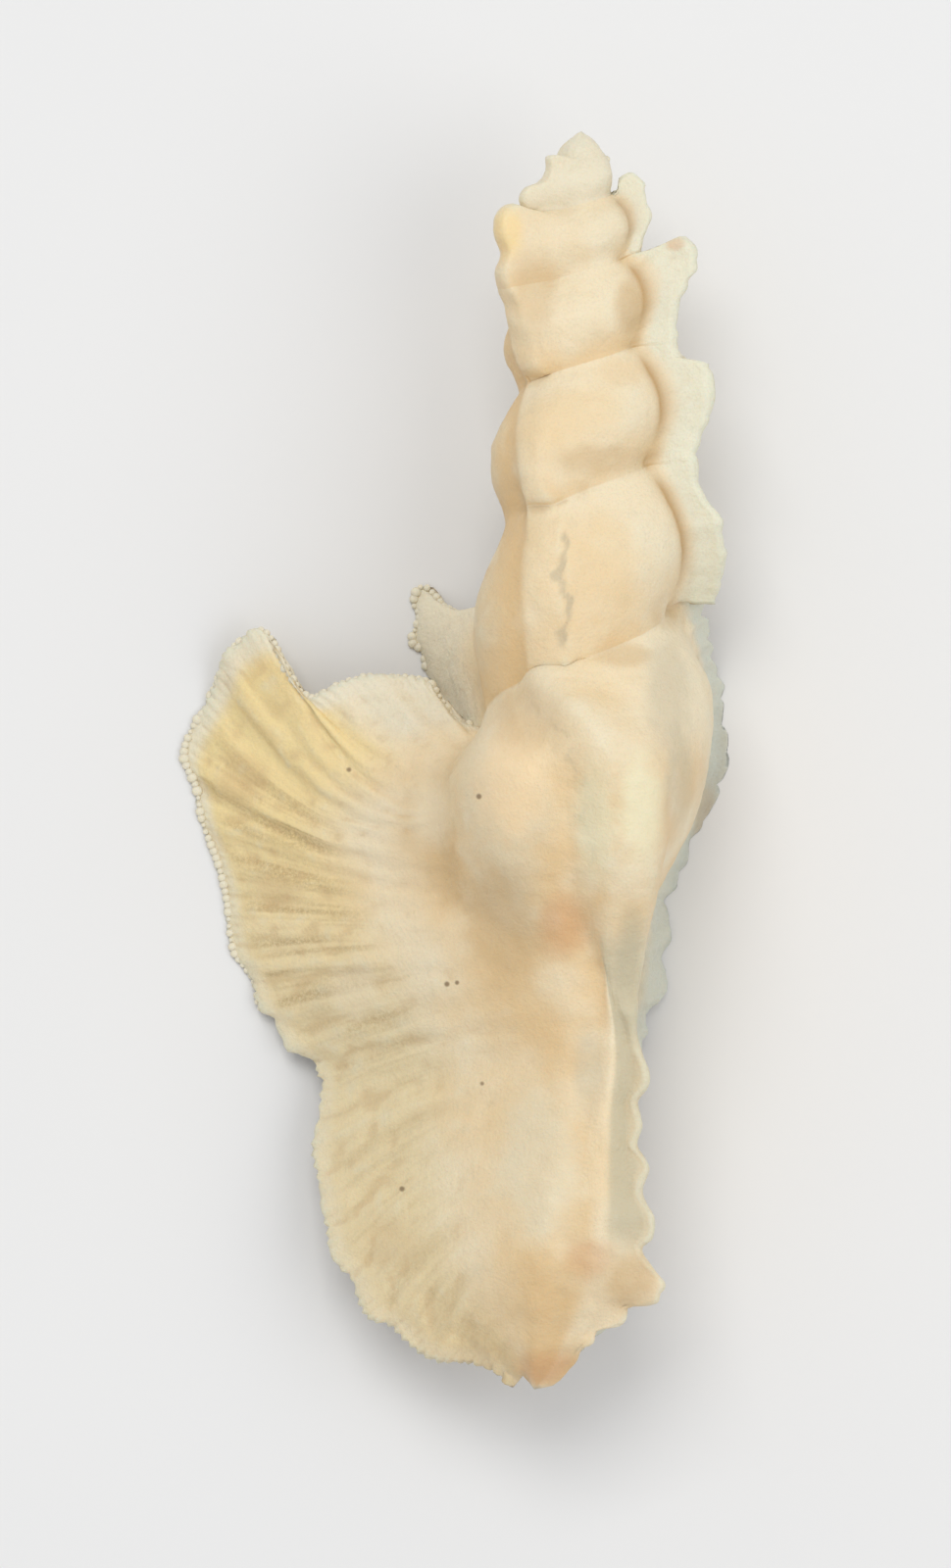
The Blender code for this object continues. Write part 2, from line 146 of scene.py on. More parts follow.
# Ridges of the spire that show in its outline seen from above: row, across, drop.
spireOutlines = {
    5: [

        (0, 6.5, 19.6), (1.1, 6.55, 20.6), (2.2, 6.8, 21.5), (3.3, 7.5, 22.5), (4, 8.05, 23.3),
        (4.6, 7.9, 23.8), (5.7, 8.2, 24.8), (6.5, 8.25, 25.4), (7.5, 8.1, 26.3), (8.8, 7.9, 27.3),
        (10, 7.65, 28.2),
    ],
    7: [(0, -2.5, 14.6), (3, -3.1, 16.6), (6, -3.3, 19), (8.5, -3.1, 21.2), (10, -2.7, 22.6)],
    8: [

        (0, 5.35, 12.6), (0.7, 5.4, 13.2), (1.1, 5.9, 13.6), (1.5, 7, 13.75), (2, 7.3, 14.2), (3, 7.4, 14.8),
        (3.8, 7.5, 15.3), (4.8, 7.45, 16), (6, 7.3, 16.9), (7, 7.05, 17.6), (8, 6.75, 18.4), (9, 6.45, 19.2),
        (10, 6.5, 19.6),
    ],
    10: [

        (0, -4.7, 9.5), (1, -4.6, 9.9), (2, -4.35, 10.4), (3, -4.25, 10.9), (4, -4.2, 11.5), (5, -3.95, 12.1),
        (6, -3.7, 12.7), (7.5, -3.5, 13.6), (9, -3.2, 14.4), (10, -2.5, 14.9),
    ],
    11: [

        (0, 3.4, 7.3), (0.5, 4.5, 7), (1, 5.5, 6.6), (1.4, 5.9, 6.5), (1.8, 6.3, 6.9), (2.3, 6.55, 7.4),
        (3, 6.6, 8), (4, 6.5, 8.6), (4.8, 6.2, 9), (5.6, 5.9, 9.6), (6.6, 5.55, 10.3), (7.6, 5.35, 11),
        (8.8, 5.27, 11.8), (10, 5.35, 12.6),
    ],
    13: [

        (0, -2.9, 5), (0.4, -3.5, 4.9), (0.8, -3.9, 4.5), (1.2, -4.3, 4.4), (1.6, -4.7, 4.6), (2, -5, 5.1),
        (3, -5.1, 5.8), (4, -5.05, 6.5), (5, -4.75, 7), (5.6, -4.63, 7.4), (6.2, -4.8, 7.8), (7, -5, 8.3),
        (8.2, -4.95, 8.9), (9, -4.85, 9.2), (10, -4.7, 9.5),
    ],
    14: [

        (0, 1.7, 3.8), (0.6, 2.1, 3.7), (1.2, 2.3, 2.95), (1.7, 2.8, 2.65), (2.2, 3.3, 2.85),
        (2.8, 3.68, 3.3), (3.4, 3.63, 3.7), (4.4, 3.75, 4.3), (5.5, 3.93, 4.9), (6.3, 3.98, 5.3),
        (7.2, 3.8, 5.75), (8.2, 3.6, 6.2), (9.2, 3.4, 6.7), (10, 3.35, 7.3),
    ],
    16: [

        (0, -1.3, 1.6), (0.6, -1.9, 1.6), (1.6, -1.95, 2), (2.6, -2, 2.5), (3.4, -2.15, 2.85),
        (4.5, -2.5, 3.25), (5.5, -3.2, 3.5), (6.3, -3.45, 3.8), (8, -3.5, 4.4), (9, -3.3, 4.8), (10, -2.9, 5),
    ],
    17: [

        (0, 0.85, 1), (1.2, 1.1, 1.45), (2, 1.6, 1.5), (2.8, 1.7, 1.7), (4, 1.55, 2.1), (6, 1.45, 2.6),
        (8, 1.55, 3.2), (10, 1.7, 3.8),
    ],
}

# Edges of the four newest wings seen from above: row, across, drop.
wingOutlines = {
    0: [

        (0, -6, 35.6), (1, -7.4, 35), (1.5, -8.2, 34), (2, -8.9, 33.1), (2.5, -10, 32.7), (3, -11.8, 32.6),
        (3.6, -13.5, 32.8), (4.3, -15.05, 33.5), (5, -16.05, 33.9), (5.5, -16.7, 33.4), (6, -17.1, 32.8),
        (6.5, -17.6, 32.1), (7, -18, 31.2), (7.5, -18.4, 30.4), (7.8, -18.8, 29.95), (8.05, -19.4, 29.8),
        (8.35, -20.1, 30.3), (8.6, -21.1, 31.1), (8.85, -21.4, 31.9), (9.4, -21.9, 33.2), (10, -22.5, 34.45),
        (10.8, -23.4, 35.9), (11.3, -23.75, 37), (12, -23.5, 38.2), (12.3, -23.1, 39), (13, -22.7, 41.1),
        (14, -21.7, 43.8), (15.1, -21.1, 46.5), (15.8, -21, 47.9), (16.4, -20.7, 49.2), (17.2, -19.5, 50.8),
        (18, -19.1, 52.5), (18.4, -18.2, 53.1), (18.8, -17.75, 54.2), (19.1, -17.4, 54.9),
        (19.7, -15.9, 55.6), (20.2, -15.7, 56.4), (20.9, -15.2, 57.2), (21.3, -15.35, 58.1),
        (22.4, -15.76, 60.8), (23.9, -15.2, 64), (24.8, -14.94, 65.8), (25.7, -14.5, 67.5),
        (26.4, -13.4, 68.7), (27.7, -12.4, 70.9), (28.4, -11.25, 71.2), (29.6, -9.5, 72.8),
        (31.7, -6.15, 73.5), (32.8, -4.8, 74.1), (33.4, -4.2, 74.85), (33.7, -3.85, 74.7),
        (34.1, -3.46, 74.2), (34.5, -3.1, 74.45), (35, -2.75, 75),
    ],
    1: [

        (0, -2, 31.6), (1, -1.3, 32.2), (2, -0.4, 33), (3.5, 1.2, 34.3), (5, 2.3, 35.6), (10, 3.6, 40),
        (13, 3.6, 44.4), (15, 3.2, 47.4), (17, 2.7, 50.2), (19, 2.9, 53), (20, 3.2, 54.6), (21.6, 3.57, 56.9),
        (22.2, 3, 57.7), (23.2, 3.25, 59.3), (23.5, 3, 59.9), (25.1, 3.6, 62.1), (25.3, 3.35, 62.5),
        (26.7, 4, 64.7), (27.5, 3.8, 65.9), (27.9, 3.3, 66.4), (28.5, 3.8, 67.5), (29.2, 4.75, 68.7),
        (29.6, 4.4, 69.3), (30.7, 3.4, 69.9), (31.1, 2.6, 70.1), (31.4, 2.3, 70.7), (32.4, 0.75, 71.6),
        (32.8, 0.5, 72.2), (33.2, -0.15, 72.5), (33.9, -0.4, 73.4), (34.4, -0.95, 74.1), (34.7, -1.7, 74.8),
        (35, -2.75, 75),
    ],
    2: [

        (0, 6.9, 27.3), (2, 7.4, 29.5), (3, 7.6, 30.7), (4.6, 8, 32.2), (6, 8.5, 33.4), (6.8, 8.3, 34.3),
        (8.6, 8.7, 37), (10.4, 8.1, 39.25), (11.8, 7.4, 41.1), (12.8, 6.3, 42.9), (13.2, 6.2, 43.6),
        (14, 5.6, 44.8), (14.4, 5.4, 45.5), (14.6, 4.9, 45.9), (14.9, 4.9, 46.5), (15.5, 5.3, 47.6),
        (16.2, 5.2, 48.5), (16.7, 4.75, 49.4), (17.4, 4.9, 50.5), (18.2, 5, 51.7), (18.9, 4, 52.7),
        (19.3, 3.8, 53.3), (19.8, 3.85, 53.9), (20.6, 3.4, 55.1), (24, 2.6, 60.6), (28, 2.6, 66.4),
        (31, 2.4, 70), (33, 0.6, 72.4), (35, -2.75, 75),
    ],
    3: [

        (0, -3.8, 25.2), (1, -4.2, 26.3), (2, -4.9, 27.5), (2.7, -5.9, 28.4), (3.4, -7.1, 28.7),
        (4, -8, 28.3), (4.5, -8.7, 27.5), (4.8, -9.2, 27.1), (5.05, -9.55, 27.15), (5.4, -9.85, 27.7),
        (5.7, -9.84, 28.3), (5.95, -9.5, 28.8), (6.3, -9.67, 29.4), (6.6, -9.96, 30), (6.85, -10, 30.4),
        (7.2, -9.4, 30.9), (7.6, -9.2, 31.6), (8, -8.96, 32.2), (8.4, -8.5, 32.8), (8.8, -8.2, 33.6),
        (9.2, -7.9, 34.4), (9.6, -7, 35.3), (10, -5.9, 35.7),
    ],
}

# Height of the same edges over the coil's axis: row, up.
wingHeights = {
    0: [

        (0, -4.2), (1, -4.5), (2, -4.9), (3, -5.2), (4, -5.4), (5, -5.6), (6, -5.9), (7, -6.4), (8, -7.1),
        (9, -8.8), (10, -9.9), (11, -10.2), (15, -10.2), (16, -10.1), (17, -9.8), (18, -9.3), (19, -8.6),
        (20, -8), (21, -7.5), (23, -6.5), (25, -5.2), (27, -3.8), (29, -2.4), (31, -1.2), (33, -0.2),
        (35, 0.5),
    ],
    1: [

        (0, 5.4), (1, 6.2), (2, 7), (5, 8.8), (10, 9.5), (13, 8.7), (15, 7.2), (17, 5.4), (19, 4.3),
        (22, 3.6), (26, 3.4), (28, 3.3), (29, 3.1), (31, 2.6), (33, 2), (34, 1.4), (35, 0.5),
    ],
    2: [

        (0, -3.3), (2, -5.2), (4, -8.2), (6, -10.2), (15, -10.2), (16, -10), (18, -9.4), (20, -8.4),
        (24, -7.2), (28, -6.2), (31, -4.6), (33, -2.4), (35, 0.5),
    ],
    3: [

        (0, -4.8), (1, -5.2), (2, -6.1), (3, -7.6), (4, -9.1), (5, -10.1), (6, -10.2), (7, -10.2), (8, -10),
        (9, -8), (10, -4.4),
    ],
}
# How far the upper faces of the left wing and of the canal's ridge swell: row, swell.
wingSwells = {
    0: [(0, 0), (11, 0), (16, 0.5), (22, 0.8), (28, 0.6), (33, 0.2), (35, 0)],
    1: [(0, 0), (13, 0), (18, 0.8), (22, 1.1), (28, 1), (33, 0.2), (35, 0)],
}
# How far the sheet of a wing bows towards the canal: row, bow.
wingBows = {
    0: [

        (0, 0), (2, 0.2), (4, 0.7), (5, 1), (6, 1.7), (7, 3.1), (8, 4), (9, 3.6), (10, 2.9), (11, 2),
        (14, 0.4), (16, 0),
    ],
    3: [(0, 0), (3, 0), (5, 0.8), (8, 0.2), (10, 0)],
}

# Opening: angles of its two sides by drop, and the hollow that winds in behind it.
opening = {
    "lipSide": [
        (35, 140), (37, 148), (39, 151), (41.5, 150), (43.2, 145),
        (44.8, 136), (46.2, 124), (47.4, 112), (75, 112),
    ],
    "columellaSide": [
        (35, 140), (36.5, 120), (38, 106), (40, 100), (43.5, 99),
        (45.5, 102), (46.6, 107), (47.4, 112), (75, 112),
    ],
    "raise": 0.5,
    "slitLeast": 0.3,
    "sections": [
        (0, 172, 4.9, 40.3, 2.3, 3.3),
        (1, 206, 4.9, 39.6, 2, 2.8),
        (2, 240, 4.9, 38.8, 1.5, 2.1),
        (3, 266, 4.9, 38.2, 0.8, 1.1),
    ],
    "ringsPerSection": 4,
    "entryShares": (0.15, 0.4, 0.7),
    "end": (276, 4.9, 38),
}


def soft(value):
    value = min(1, max(0, value))
    return value * value * (3 - 2 * value)


def window(gain, value, start, rise, end, fall):
    # The gain between start and end, going softly to 0 outside them.
    return gain * soft((value - start) / rise) * soft((end - value) / fall)


def between(start, end, share):
    return start + (end - start) * share


def lookUp(points, at):
    if at <= points[0][0]:
        return points[0][1:]
    for low, high in zip(points, points[1:]):
        if at <= high[0]:
            share = (at - low[0]) / (high[0] - low[0])
            return tuple(between(a, b, share) for a, b in zip(low[1:], high[1:]))
    return points[-1][1:]


class SmoothCurve:
    # A curve through table rows whose first number increases, with no corner at a row.
    def __init__(self, rows):
        self.knots = np.array([row[0] for row in rows], float)
        self.values = np.array([row[1:] for row in rows], float)
        steps = np.diff(self.knots)[:, None]
        slopes = np.diff(self.values, axis=0) / steps
        tangents = np.empty_like(self.values)
        tangents[0], tangents[-1] = slopes[0], slopes[-1]
        tangents[1:-1] = (slopes[:-1] * steps[1:] + slopes[1:] * steps[:-1]) / (steps[1:] + steps[:-1])
        self.tangents = tangents

    def at(self, where):
        where = min(max(where, self.knots[0]), self.knots[-1])
        low = int(np.clip(np.searchsorted(self.knots, where, side="right") - 1, 0, len(self.knots) - 2))
        step = self.knots[low + 1] - self.knots[low]
        t = (where - self.knots[low]) / step
        a, b = self.values[low], self.values[low + 1]
        m, n = self.tangents[low] * step, self.tangents[low + 1] * step
        inner = a * (2 * t**3 - 3 * t**2 + 1) + m * (t**3 - 2 * t**2 + t)
        return inner + b * (3 * t**2 - 2 * t**3) + n * (t**3 - t**2)


outlineCurves, heightCurves, bowCurves, swellCurves, spireCurves = (
    {ridge: SmoothCurve(rows) for ridge, rows in table.items()}
    for table in (wingOutlines, wingHeights, wingBows, wingSwells, spireOutlines))


def place(angle, radius, drop):
    # Point at an angle round the coil's axis, which bends along the canal.
    turn = radians(angle)
    down = max(0, drop - coil["canalBendStart"]) / (coil["length"] - coil["canalBendStart"])
    across = coil["canalBend"] * soft(down) + radius * cos(turn)
    up = coil["canalLift"] * down * down - radius * sin(turn)
    return Vector((across, -drop, up))


def sutureDrop(angle):
    turn = (angle - coil["lipAngle"]) / 360
    return max(0, coil["sutureSpread"] * coil["whorlRatio"] ** -turn - coil["sutureOffset"])


def sutureRadius(drop):
    return coil["tipWidth"] * (1 - exp(-((drop / coil["tipRounding"]) ** 0.5))) + coil["spireSlope"] * drop


def ridgeAngle(ridge):
    known = coil["ridgeAngles"]
    return known[ridge] if ridge < len(known) else known[-1] + 120 * (ridge - len(known) + 1)


def seamAngle(ridge):
    # Where a ridge meets the ridge of the turn above.
    return ridges["seamAngles"].get(ridge, 0.5 * (ridgeAngle(ridge) + ridgeAngle(ridge + 3) - 360))


def leaningAngle(ridge, row):
    # A ridge leans to meet the ridges of the turns above and below it at the seams.
    angle = ridgeAngle(ridge)
    share = min(1, row / seamRow)
    leaning = angle + (seamAngle(ridge) - angle) * (1 - share) ** 2
    if ridge >= 3:
        leaning += (seamAngle(ridge - 3) + 360 - angle) * share**2
    return leaning


def rootAngles(ridge, row):
    # Newer side, middle and older side of a ridge's root.
    middle = leaningAngle(ridge, row)
    newer, older = ridges["rootSides"].get(ridge, ridges["rootSeries"][ridge % 3])
    if ridge < 3:
        down = soft((row - mouthRow + ridges["driftLead"]) / ridges["driftRows"])
        middle += ridges["canalDrift"][ridge] * down
        newer = between(newer, ridges["canalSides"][ridge][0], down)
        older = between(older, ridges["canalSides"][ridge][1], down)
    return middle - newer, middle, middle + older


def lowerDrop(age):
    return between(grid["seamDropEnd"], grid["seamDropStart"], age)


def lastDrop(age, top, row):
    # Drop of a row of the last turn, age 0 at the lip and 1 a turn back.
    if row <= seamRow:
        return between(top, lowerDrop(age), row / seamRow)
    if row <= mouthRow:
        return between(lowerDrop(age), grid["mouthDrop"], (row - seamRow) / (mouthRow - seamRow))
    return between(grid["mouthDrop"], coil["length"], (row - mouthRow) / (tipRow - mouthRow))


def canalRadius(drop):
    past = max(0, drop - (coil["length"] - coil["canalRounding"])) / coil["canalRounding"]
    return coil["canalRadius"] * sqrt(max(0, 1 - past * past))


def nodeShare(share, gain):
    # Swelling between two ridges, share 0 at the newer one and 1 at the older one.
    return coil["nodeFloor"] + gain * sin(pi * max(0, share) ** coil["nodeLean"]) ** 3


class Spot:
    # A place on the coil's grid: which ridge block, which part of it and how far between ridges.
    def __init__(self, ridge, part, share):
        self.ridge, self.part, self.share = ridge, part, share
        step = {"newer": 0, "middle": 4, "older": 9}.get(part, 9 + 7 * share)
        self.age = (ridge + step / 16) / 3

    def angle(self, row):
        newer, middle, older = rootAngles(self.ridge, row)
        if self.part != "body":
            return {"newer": newer, "middle": middle, "older": older}[self.part]
        end = rootAngles(self.ridge + 1, row)[0]
        if self.ridge == 2 and row > seamRow:
            end = 360 + lookUp(opening["columellaSide"], self.drop(row))[0]
        return between(older, end, self.share)

    def node(self):
        right, left, top = coil["nodeGains"]
        gain = top if self.ridge == 1 else left if self.ridge % 3 == 0 and self.ridge > 0 else right
        return nodeShare(self.share if self.part == "body" else 0, gain)

    def drop(self, row):
        top = sutureDrop(self.angle(0))
        if self.age > 1:
            low = sutureDrop(self.angle(seamRow) - 360)
            return between(top, low, row / seamRow)
        return lastDrop(self.age, top, row)


def spireRadius(spot, row):
    share = row / seamRow
    top = sutureDrop(spot.angle(0))
    low = sutureDrop(spot.angle(seamRow) - 360)
    growth = spot.node() + coil["bulgeGrowth"] * low / coil["bulgeSpan"]
    bulge = coil["spireBulge"] * (1 - exp(-low / coil["bulgeStart"])) * growth
    return between(sutureRadius(top), sutureRadius(low), share) + bulge * sin(pi * share)


def lastRadius(spot, drop):
    top = sutureDrop(spot.angle(0))
    widest = between(coil["lastStartRadius"], coil["lastRadius"], soft((1 - spot.age) / coil["lastGrowth"]))
    centre = coil["baseStart"] + coil["baseFall"] * (1 - spot.age)
    swell = (widest - coil["canalRadius"]) / (1 + exp((drop - centre) / coil["baseSoftness"]))
    outer = canalRadius(drop) + swell
    outer += coil["nodeRise"] * (spot.node() - 1) * soft((coil["nodeEnd"] - drop) / coil["nodeFade"])
    ramp = sin(0.5 * pi * min(1, (drop - top) / coil["shoulderDepth"]))
    return between(sutureRadius(top), outer, ramp)


def bodyProfile(spot, row):
    drop = spot.drop(row)
    if spot.age > 1 or (spot.age == 1 and row <= seamRow):
        return spireRadius(spot, row), drop
    young = soft((1 - spot.age) * coil["youngRate"])
    if row <= seamRow:
        return between(spireRadius(spot, row), lastRadius(spot, drop), young), drop
    seam = spot.drop(seamRow)
    gap = spireRadius(spot, seamRow) - lastRadius(spot, seam)
    return lastRadius(spot, drop) + (1 - young) * gap * exp((seam - drop) / coil["youngFade"]), drop


def bodyPoint(spot, row):
    radius, drop = bodyProfile(spot, row)
    return place(spot.angle(row), radius, drop)


def mouthPoint(spot, row):
    # Rim of the opening, and the slit of the canal below it.
    radius, drop = bodyProfile(spot, row)
    side = opening["lipSide"] if spot.ridge == 0 else opening["columellaSide"]
    angle = lookUp(side, drop)[0]
    if row >= mouthRow:
        return place(angle, max(opening["slitLeast"], radius - coil["slitDepth"]), drop)
    rise = opening["raise"] * sin(pi * row / mouthRow)
    return place(angle, radius + rise, drop)


def edgeHalf(ridge, row):
    if ridge not in ridges["edgeHalves"]:
        full = min(1, sutureDrop(ridgeAngle(ridge)) / ridges["fullEdgeDrop"])
        return ridges["edgeSeries"][ridge % 3] * full
    body, canal = ridges["edgeHalves"][ridge]
    half = between(body, canal, soft((row - mouthRow) / ridges["canalRows"]))
    if ridge == 1:
        # The ridge beside the canal starts narrow under the turn above.
        least, rows = ridges["topRidgeStart"]
        half *= between(least, 1, soft(row / rows))
    return half * min(1, (tipRow - row) / ridges["tipTaper"])


def oldEdge(ridge, row):
    # Edge of an older ridge: notched at the seams, some with a prong near the top.
    share = row / seamRow
    spot = Spot(ridge, "middle", 0)
    radius, drop = spireRadius(spot, row), spot.drop(row)
    if ridge in spireCurves:
        across, drop = spireCurves[ridge].at(row)
        angle = leaningAngle(ridge, row)
        return place(angle, across / cos(radians(angle)), drop)
    notch = between(1, ridges["notch"][ridge % 3], soft(drop / ridges["notchDrop"])) * sutureRadius(drop)
    reach = radius + ridges["oldReach"] * soft(drop / ridges["reachDrop"])
    reach = max(ridges["reach"].get(ridge, 0), reach)
    out = between(notch, reach, sin(pi * share) ** ridges["reachPower"])
    return place(leaningAngle(ridge, row), out, drop)


def wingEdge(ridge, row):
    if ridge not in outlineCurves:
        return oldEdge(ridge, row)
    across, drop = outlineCurves[ridge].at(row)
    return Vector((across, -drop, heightCurves[ridge].at(row)[0]))


def canalHump(row):
    # Lift of the canal's upper side between the left wing and the ridge beside it.
    return window(coil["canalHump"], row, *coil["humpRows"])


class WingSection:
    # One row across a wing: its root, its edge and the way its faces flare into the body.
    def __init__(self, ridge, row):
        self.ridge, self.row = ridge, row
        newer = Spot(ridge, "newer", 0)
        self.newer = mouthPoint(newer, row) if ridge == 0 else bodyPoint(newer, row)
        self.root = bodyPoint(Spot(ridge, "middle", 0), row)
        self.older = bodyPoint(Spot(ridge, "older", 0), row)
        self.edge = wingEdge(ridge, row)
        chord = self.edge - self.root
        self.length = max(chord.length, 0.01)
        self.outward = chord / self.length
        face = Vector((-chord.z, 0, chord.x))
        spread = self.older - self.newer
        if face.length < 0.3:
            face = spread
        self.face = face.normalized()
        if self.face.dot(spread) < 0:
            self.face.negate()
        self.half = edgeHalf(ridge, row)
        self.bow = float(bowCurves[ridge].at(row)[0]) if ridge in bowCurves else 0
        down = soft((row - mouthRow) / ridges["canalRows"])
        plain = (ridges["oldPower"], ridges["oldPower"])
        self.powers = {
            "newerFace": between(*ridges["newerPowers"].get(ridge, plain), down),
            "olderFace": between(*ridges["olderPowers"].get(ridge, plain), down),
        }
        self.swell = float(swellCurves[ridge].at(row)[0]) if ridge in swellCurves else 0
        # 1 on a low rounded ridge, 0 on a thin wing.
        start, fade = ridges["roundedRows"]
        self.rounded = (1 if ridge >= 4 else 1 - soft((row - start) / fade)) if ridge % 3 == 1 else 0
        least, span = ridges["bluntHalves"]
        self.blunt = max(self.rounded, soft((self.half - least) / span))
        self.rounding = self.blunt * self.half * between(*ridges["roundingShares"], self.rounded)
        # The edge with its notches evened out, which the inner part of the wing follows.
        end = tipRow if ridge < 3 else seamRow
        reach = 0 if ridge == 0 else min(ridges["calmRows"], row, end - row)
        near = [wingEdge(ridge, row + reach * step) for step in (-1, -0.5, 0, 0.5, 1)]
        self.calmEdge = sum(near, Vector()) / len(near)

    def furrow(self, part, share):
        # Depth of the wandering furrow on a rounded ridge.
        if self.ridge not in ridges["furrow"] or part != ("newerFace" if self.ridge == 1 else "olderFace"):
            return 0
        start, end, middle, depth = ridges["furrow"][self.ridge]
        along = window(1, self.row, start, 0.8, end, 1.5)
        along *= 0.8 + 0.2 * sin(3.1 * self.row + 1)
        wander = middle + 0.1 * sin(1.7 * self.row) + 0.04 * sin(5.9 * self.row)
        return depth * along * exp(-(((share - wander) / 0.1) ** 2))

    def point(self, part, share):
        if part == "crest":
            turn = radians(share)
            bulge = self.rounding * (cos(turn) - 1) + (1 - self.blunt) * self.half * cos(turn)
            return self.edge + self.face * (self.half * sin(turn)) + self.outward * bulge
        gentle = self.rounded * (1 if part == "olderFace" else 0.6 if self.ridge > 1 else 0)
        flare = between((1 - share) ** self.powers[part], 1 - share, gentle)
        climb = between(share, sin(0.5 * pi * share) ** 2, gentle)
        hump = canalHump(self.row) * (1 - share) ** 1.5
        thick = self.face * (self.half * (1 - flare))
        if part == "newerFace":
            offset = (self.newer - self.root) * flare - thick
        else:
            offset = (self.older - self.root) * flare + thick
        lifted = self.ridge == (1 if part == "newerFace" else 0)
        offset -= self.outward * (self.rounding * share**4)
        # 6.75 brings the top of the swell to 1, a third of the way out.
        rise = hump + self.swell * 6.75 * share * (1 - share) ** 2 if lifted else 0
        offset -= self.outward * self.furrow(part, share)
        bowed = Vector((0, -self.bow * sin(pi * share), rise))
        sheet = self.root.lerp(self.calmEdge, climb) + (self.edge - self.calmEdge) * share**5
        return sheet + bowed + offset


def blockPlan(family):
    # Columns of one ridge block: newer face, crest, older face, then the body up to the next ridge.
    faces, crest = grid["faceColumns"][family], grid["crestColumns"][family]
    eased = [0.5 * n / faces + 0.25 - 0.25 * cos(pi * n / faces) for n in range(faces + 1)]
    plan = [("newerFace", share) for share in eased]
    plan += [("crest", -90 + 180 * n / crest) for n in range(1, crest)]
    plan += [("olderFace", share) for share in reversed(eased)]
    body = grid["bodyColumns"][family]
    return plan + [("body", n / body) for n in range(1, body)]


turnPlan = [(family, part, share) for family in range(3) for part, share in blockPlan(family)]
turnColumns = len(turnPlan)
lastColumn = 7 * turnColumns - grid["bodyColumns"][2]


def rowsBetween(first, last, cuts):
    return [first + (last - first) * n / cuts for n in range(cuts + 1)]


spireCuts = grid["spireCuts"]
fineCuts = spireCuts * grid["lastCutsPerSpire"]
spireRowList, fineRowList = rowsBetween(0, seamRow, spireCuts), rowsBetween(0, seamRow, fineCuts)
lowRowList = rowsBetween(seamRow, mouthRow, grid["mouthCuts"])[1:]
lowRowList += rowsBetween(mouthRow, tipRow, grid["canalCuts"])[1:]


def rowsOf(column):
    if column > turnColumns:
        return spireRowList
    if column == turnColumns:
        return spireRowList + lowRowList
    return fineRowList + lowRowList


# How far a place may soften when the loft is relaxed: 0 stays sharp, 1 goes soft.
softening = {
    "passes": 65,
    "seam": (1.5, 0.85, 0.15),  # rows, gain, least
    "oldRidge": 15,
    "oldShare": 0.35,
    "topRidge": (0.15, 0.45, 0.8),  # least, gain, rows
    "rim": 0.3,
    "besideRightRidge": (0.3, 0.75, 0.2),  # least, start, span between the ridges
    "roots": (0.3, 0.4),  # start, span across the wing
    "sheets": {0: 0.9, 1: 0.8, 2: 0.4, 3: 0.5},
    "leftRoot": (0.5, 0.25),  # least, span across the wing
    "spireRidge": 10,
    "crestLoss": {"spire": 0.85, "low": 0.3},
    "newestFaces": (0.4, 0.85, 0.4),  # least, most, span across the wing
}
# How strongly the ribs and scallops of each wing are raised, and how far they reach.
raising = {
    "ribs": {0: 1, 3: 0.8, 2: 0.5, 1: 0.25},
    "oldRibs": 0.12,
    "upperRibs": (0.03, 0.5),  # inside, gain towards the edge
    "lowerRibs": 0.9,
    "ribStart": 0.3,
    "ribPitch": 0.85,
    "edgeReach": 1.3,
    "grooveReach": 0.5,
    "calmRow": 6.3,
    "fullLength": 2,
    "tipFade": 2.5,
    "scallopGrowth": {0: (1, 15, 4), 1: (2.2, 28, 2)},  # gain, start, rows
    "stripRows": (14.5, 2.5, 29, 2),  # start, rise, end, fall
}

# Numbers kept at each point for the relief and the material.
pointValues = [
    "wingShare", "edgeNear", "edgeWay", "growthWay", "ribGain", "ribScale", "scallopGain", "scallopScale",
    "rowPlace", "faceSide", "leftWing", "stripWing", "wallPlace", "inside", "turnBack", "slack", "flank",
    "groove", "canalStrip", "rightRidge", "smallWing", "furrow",
]


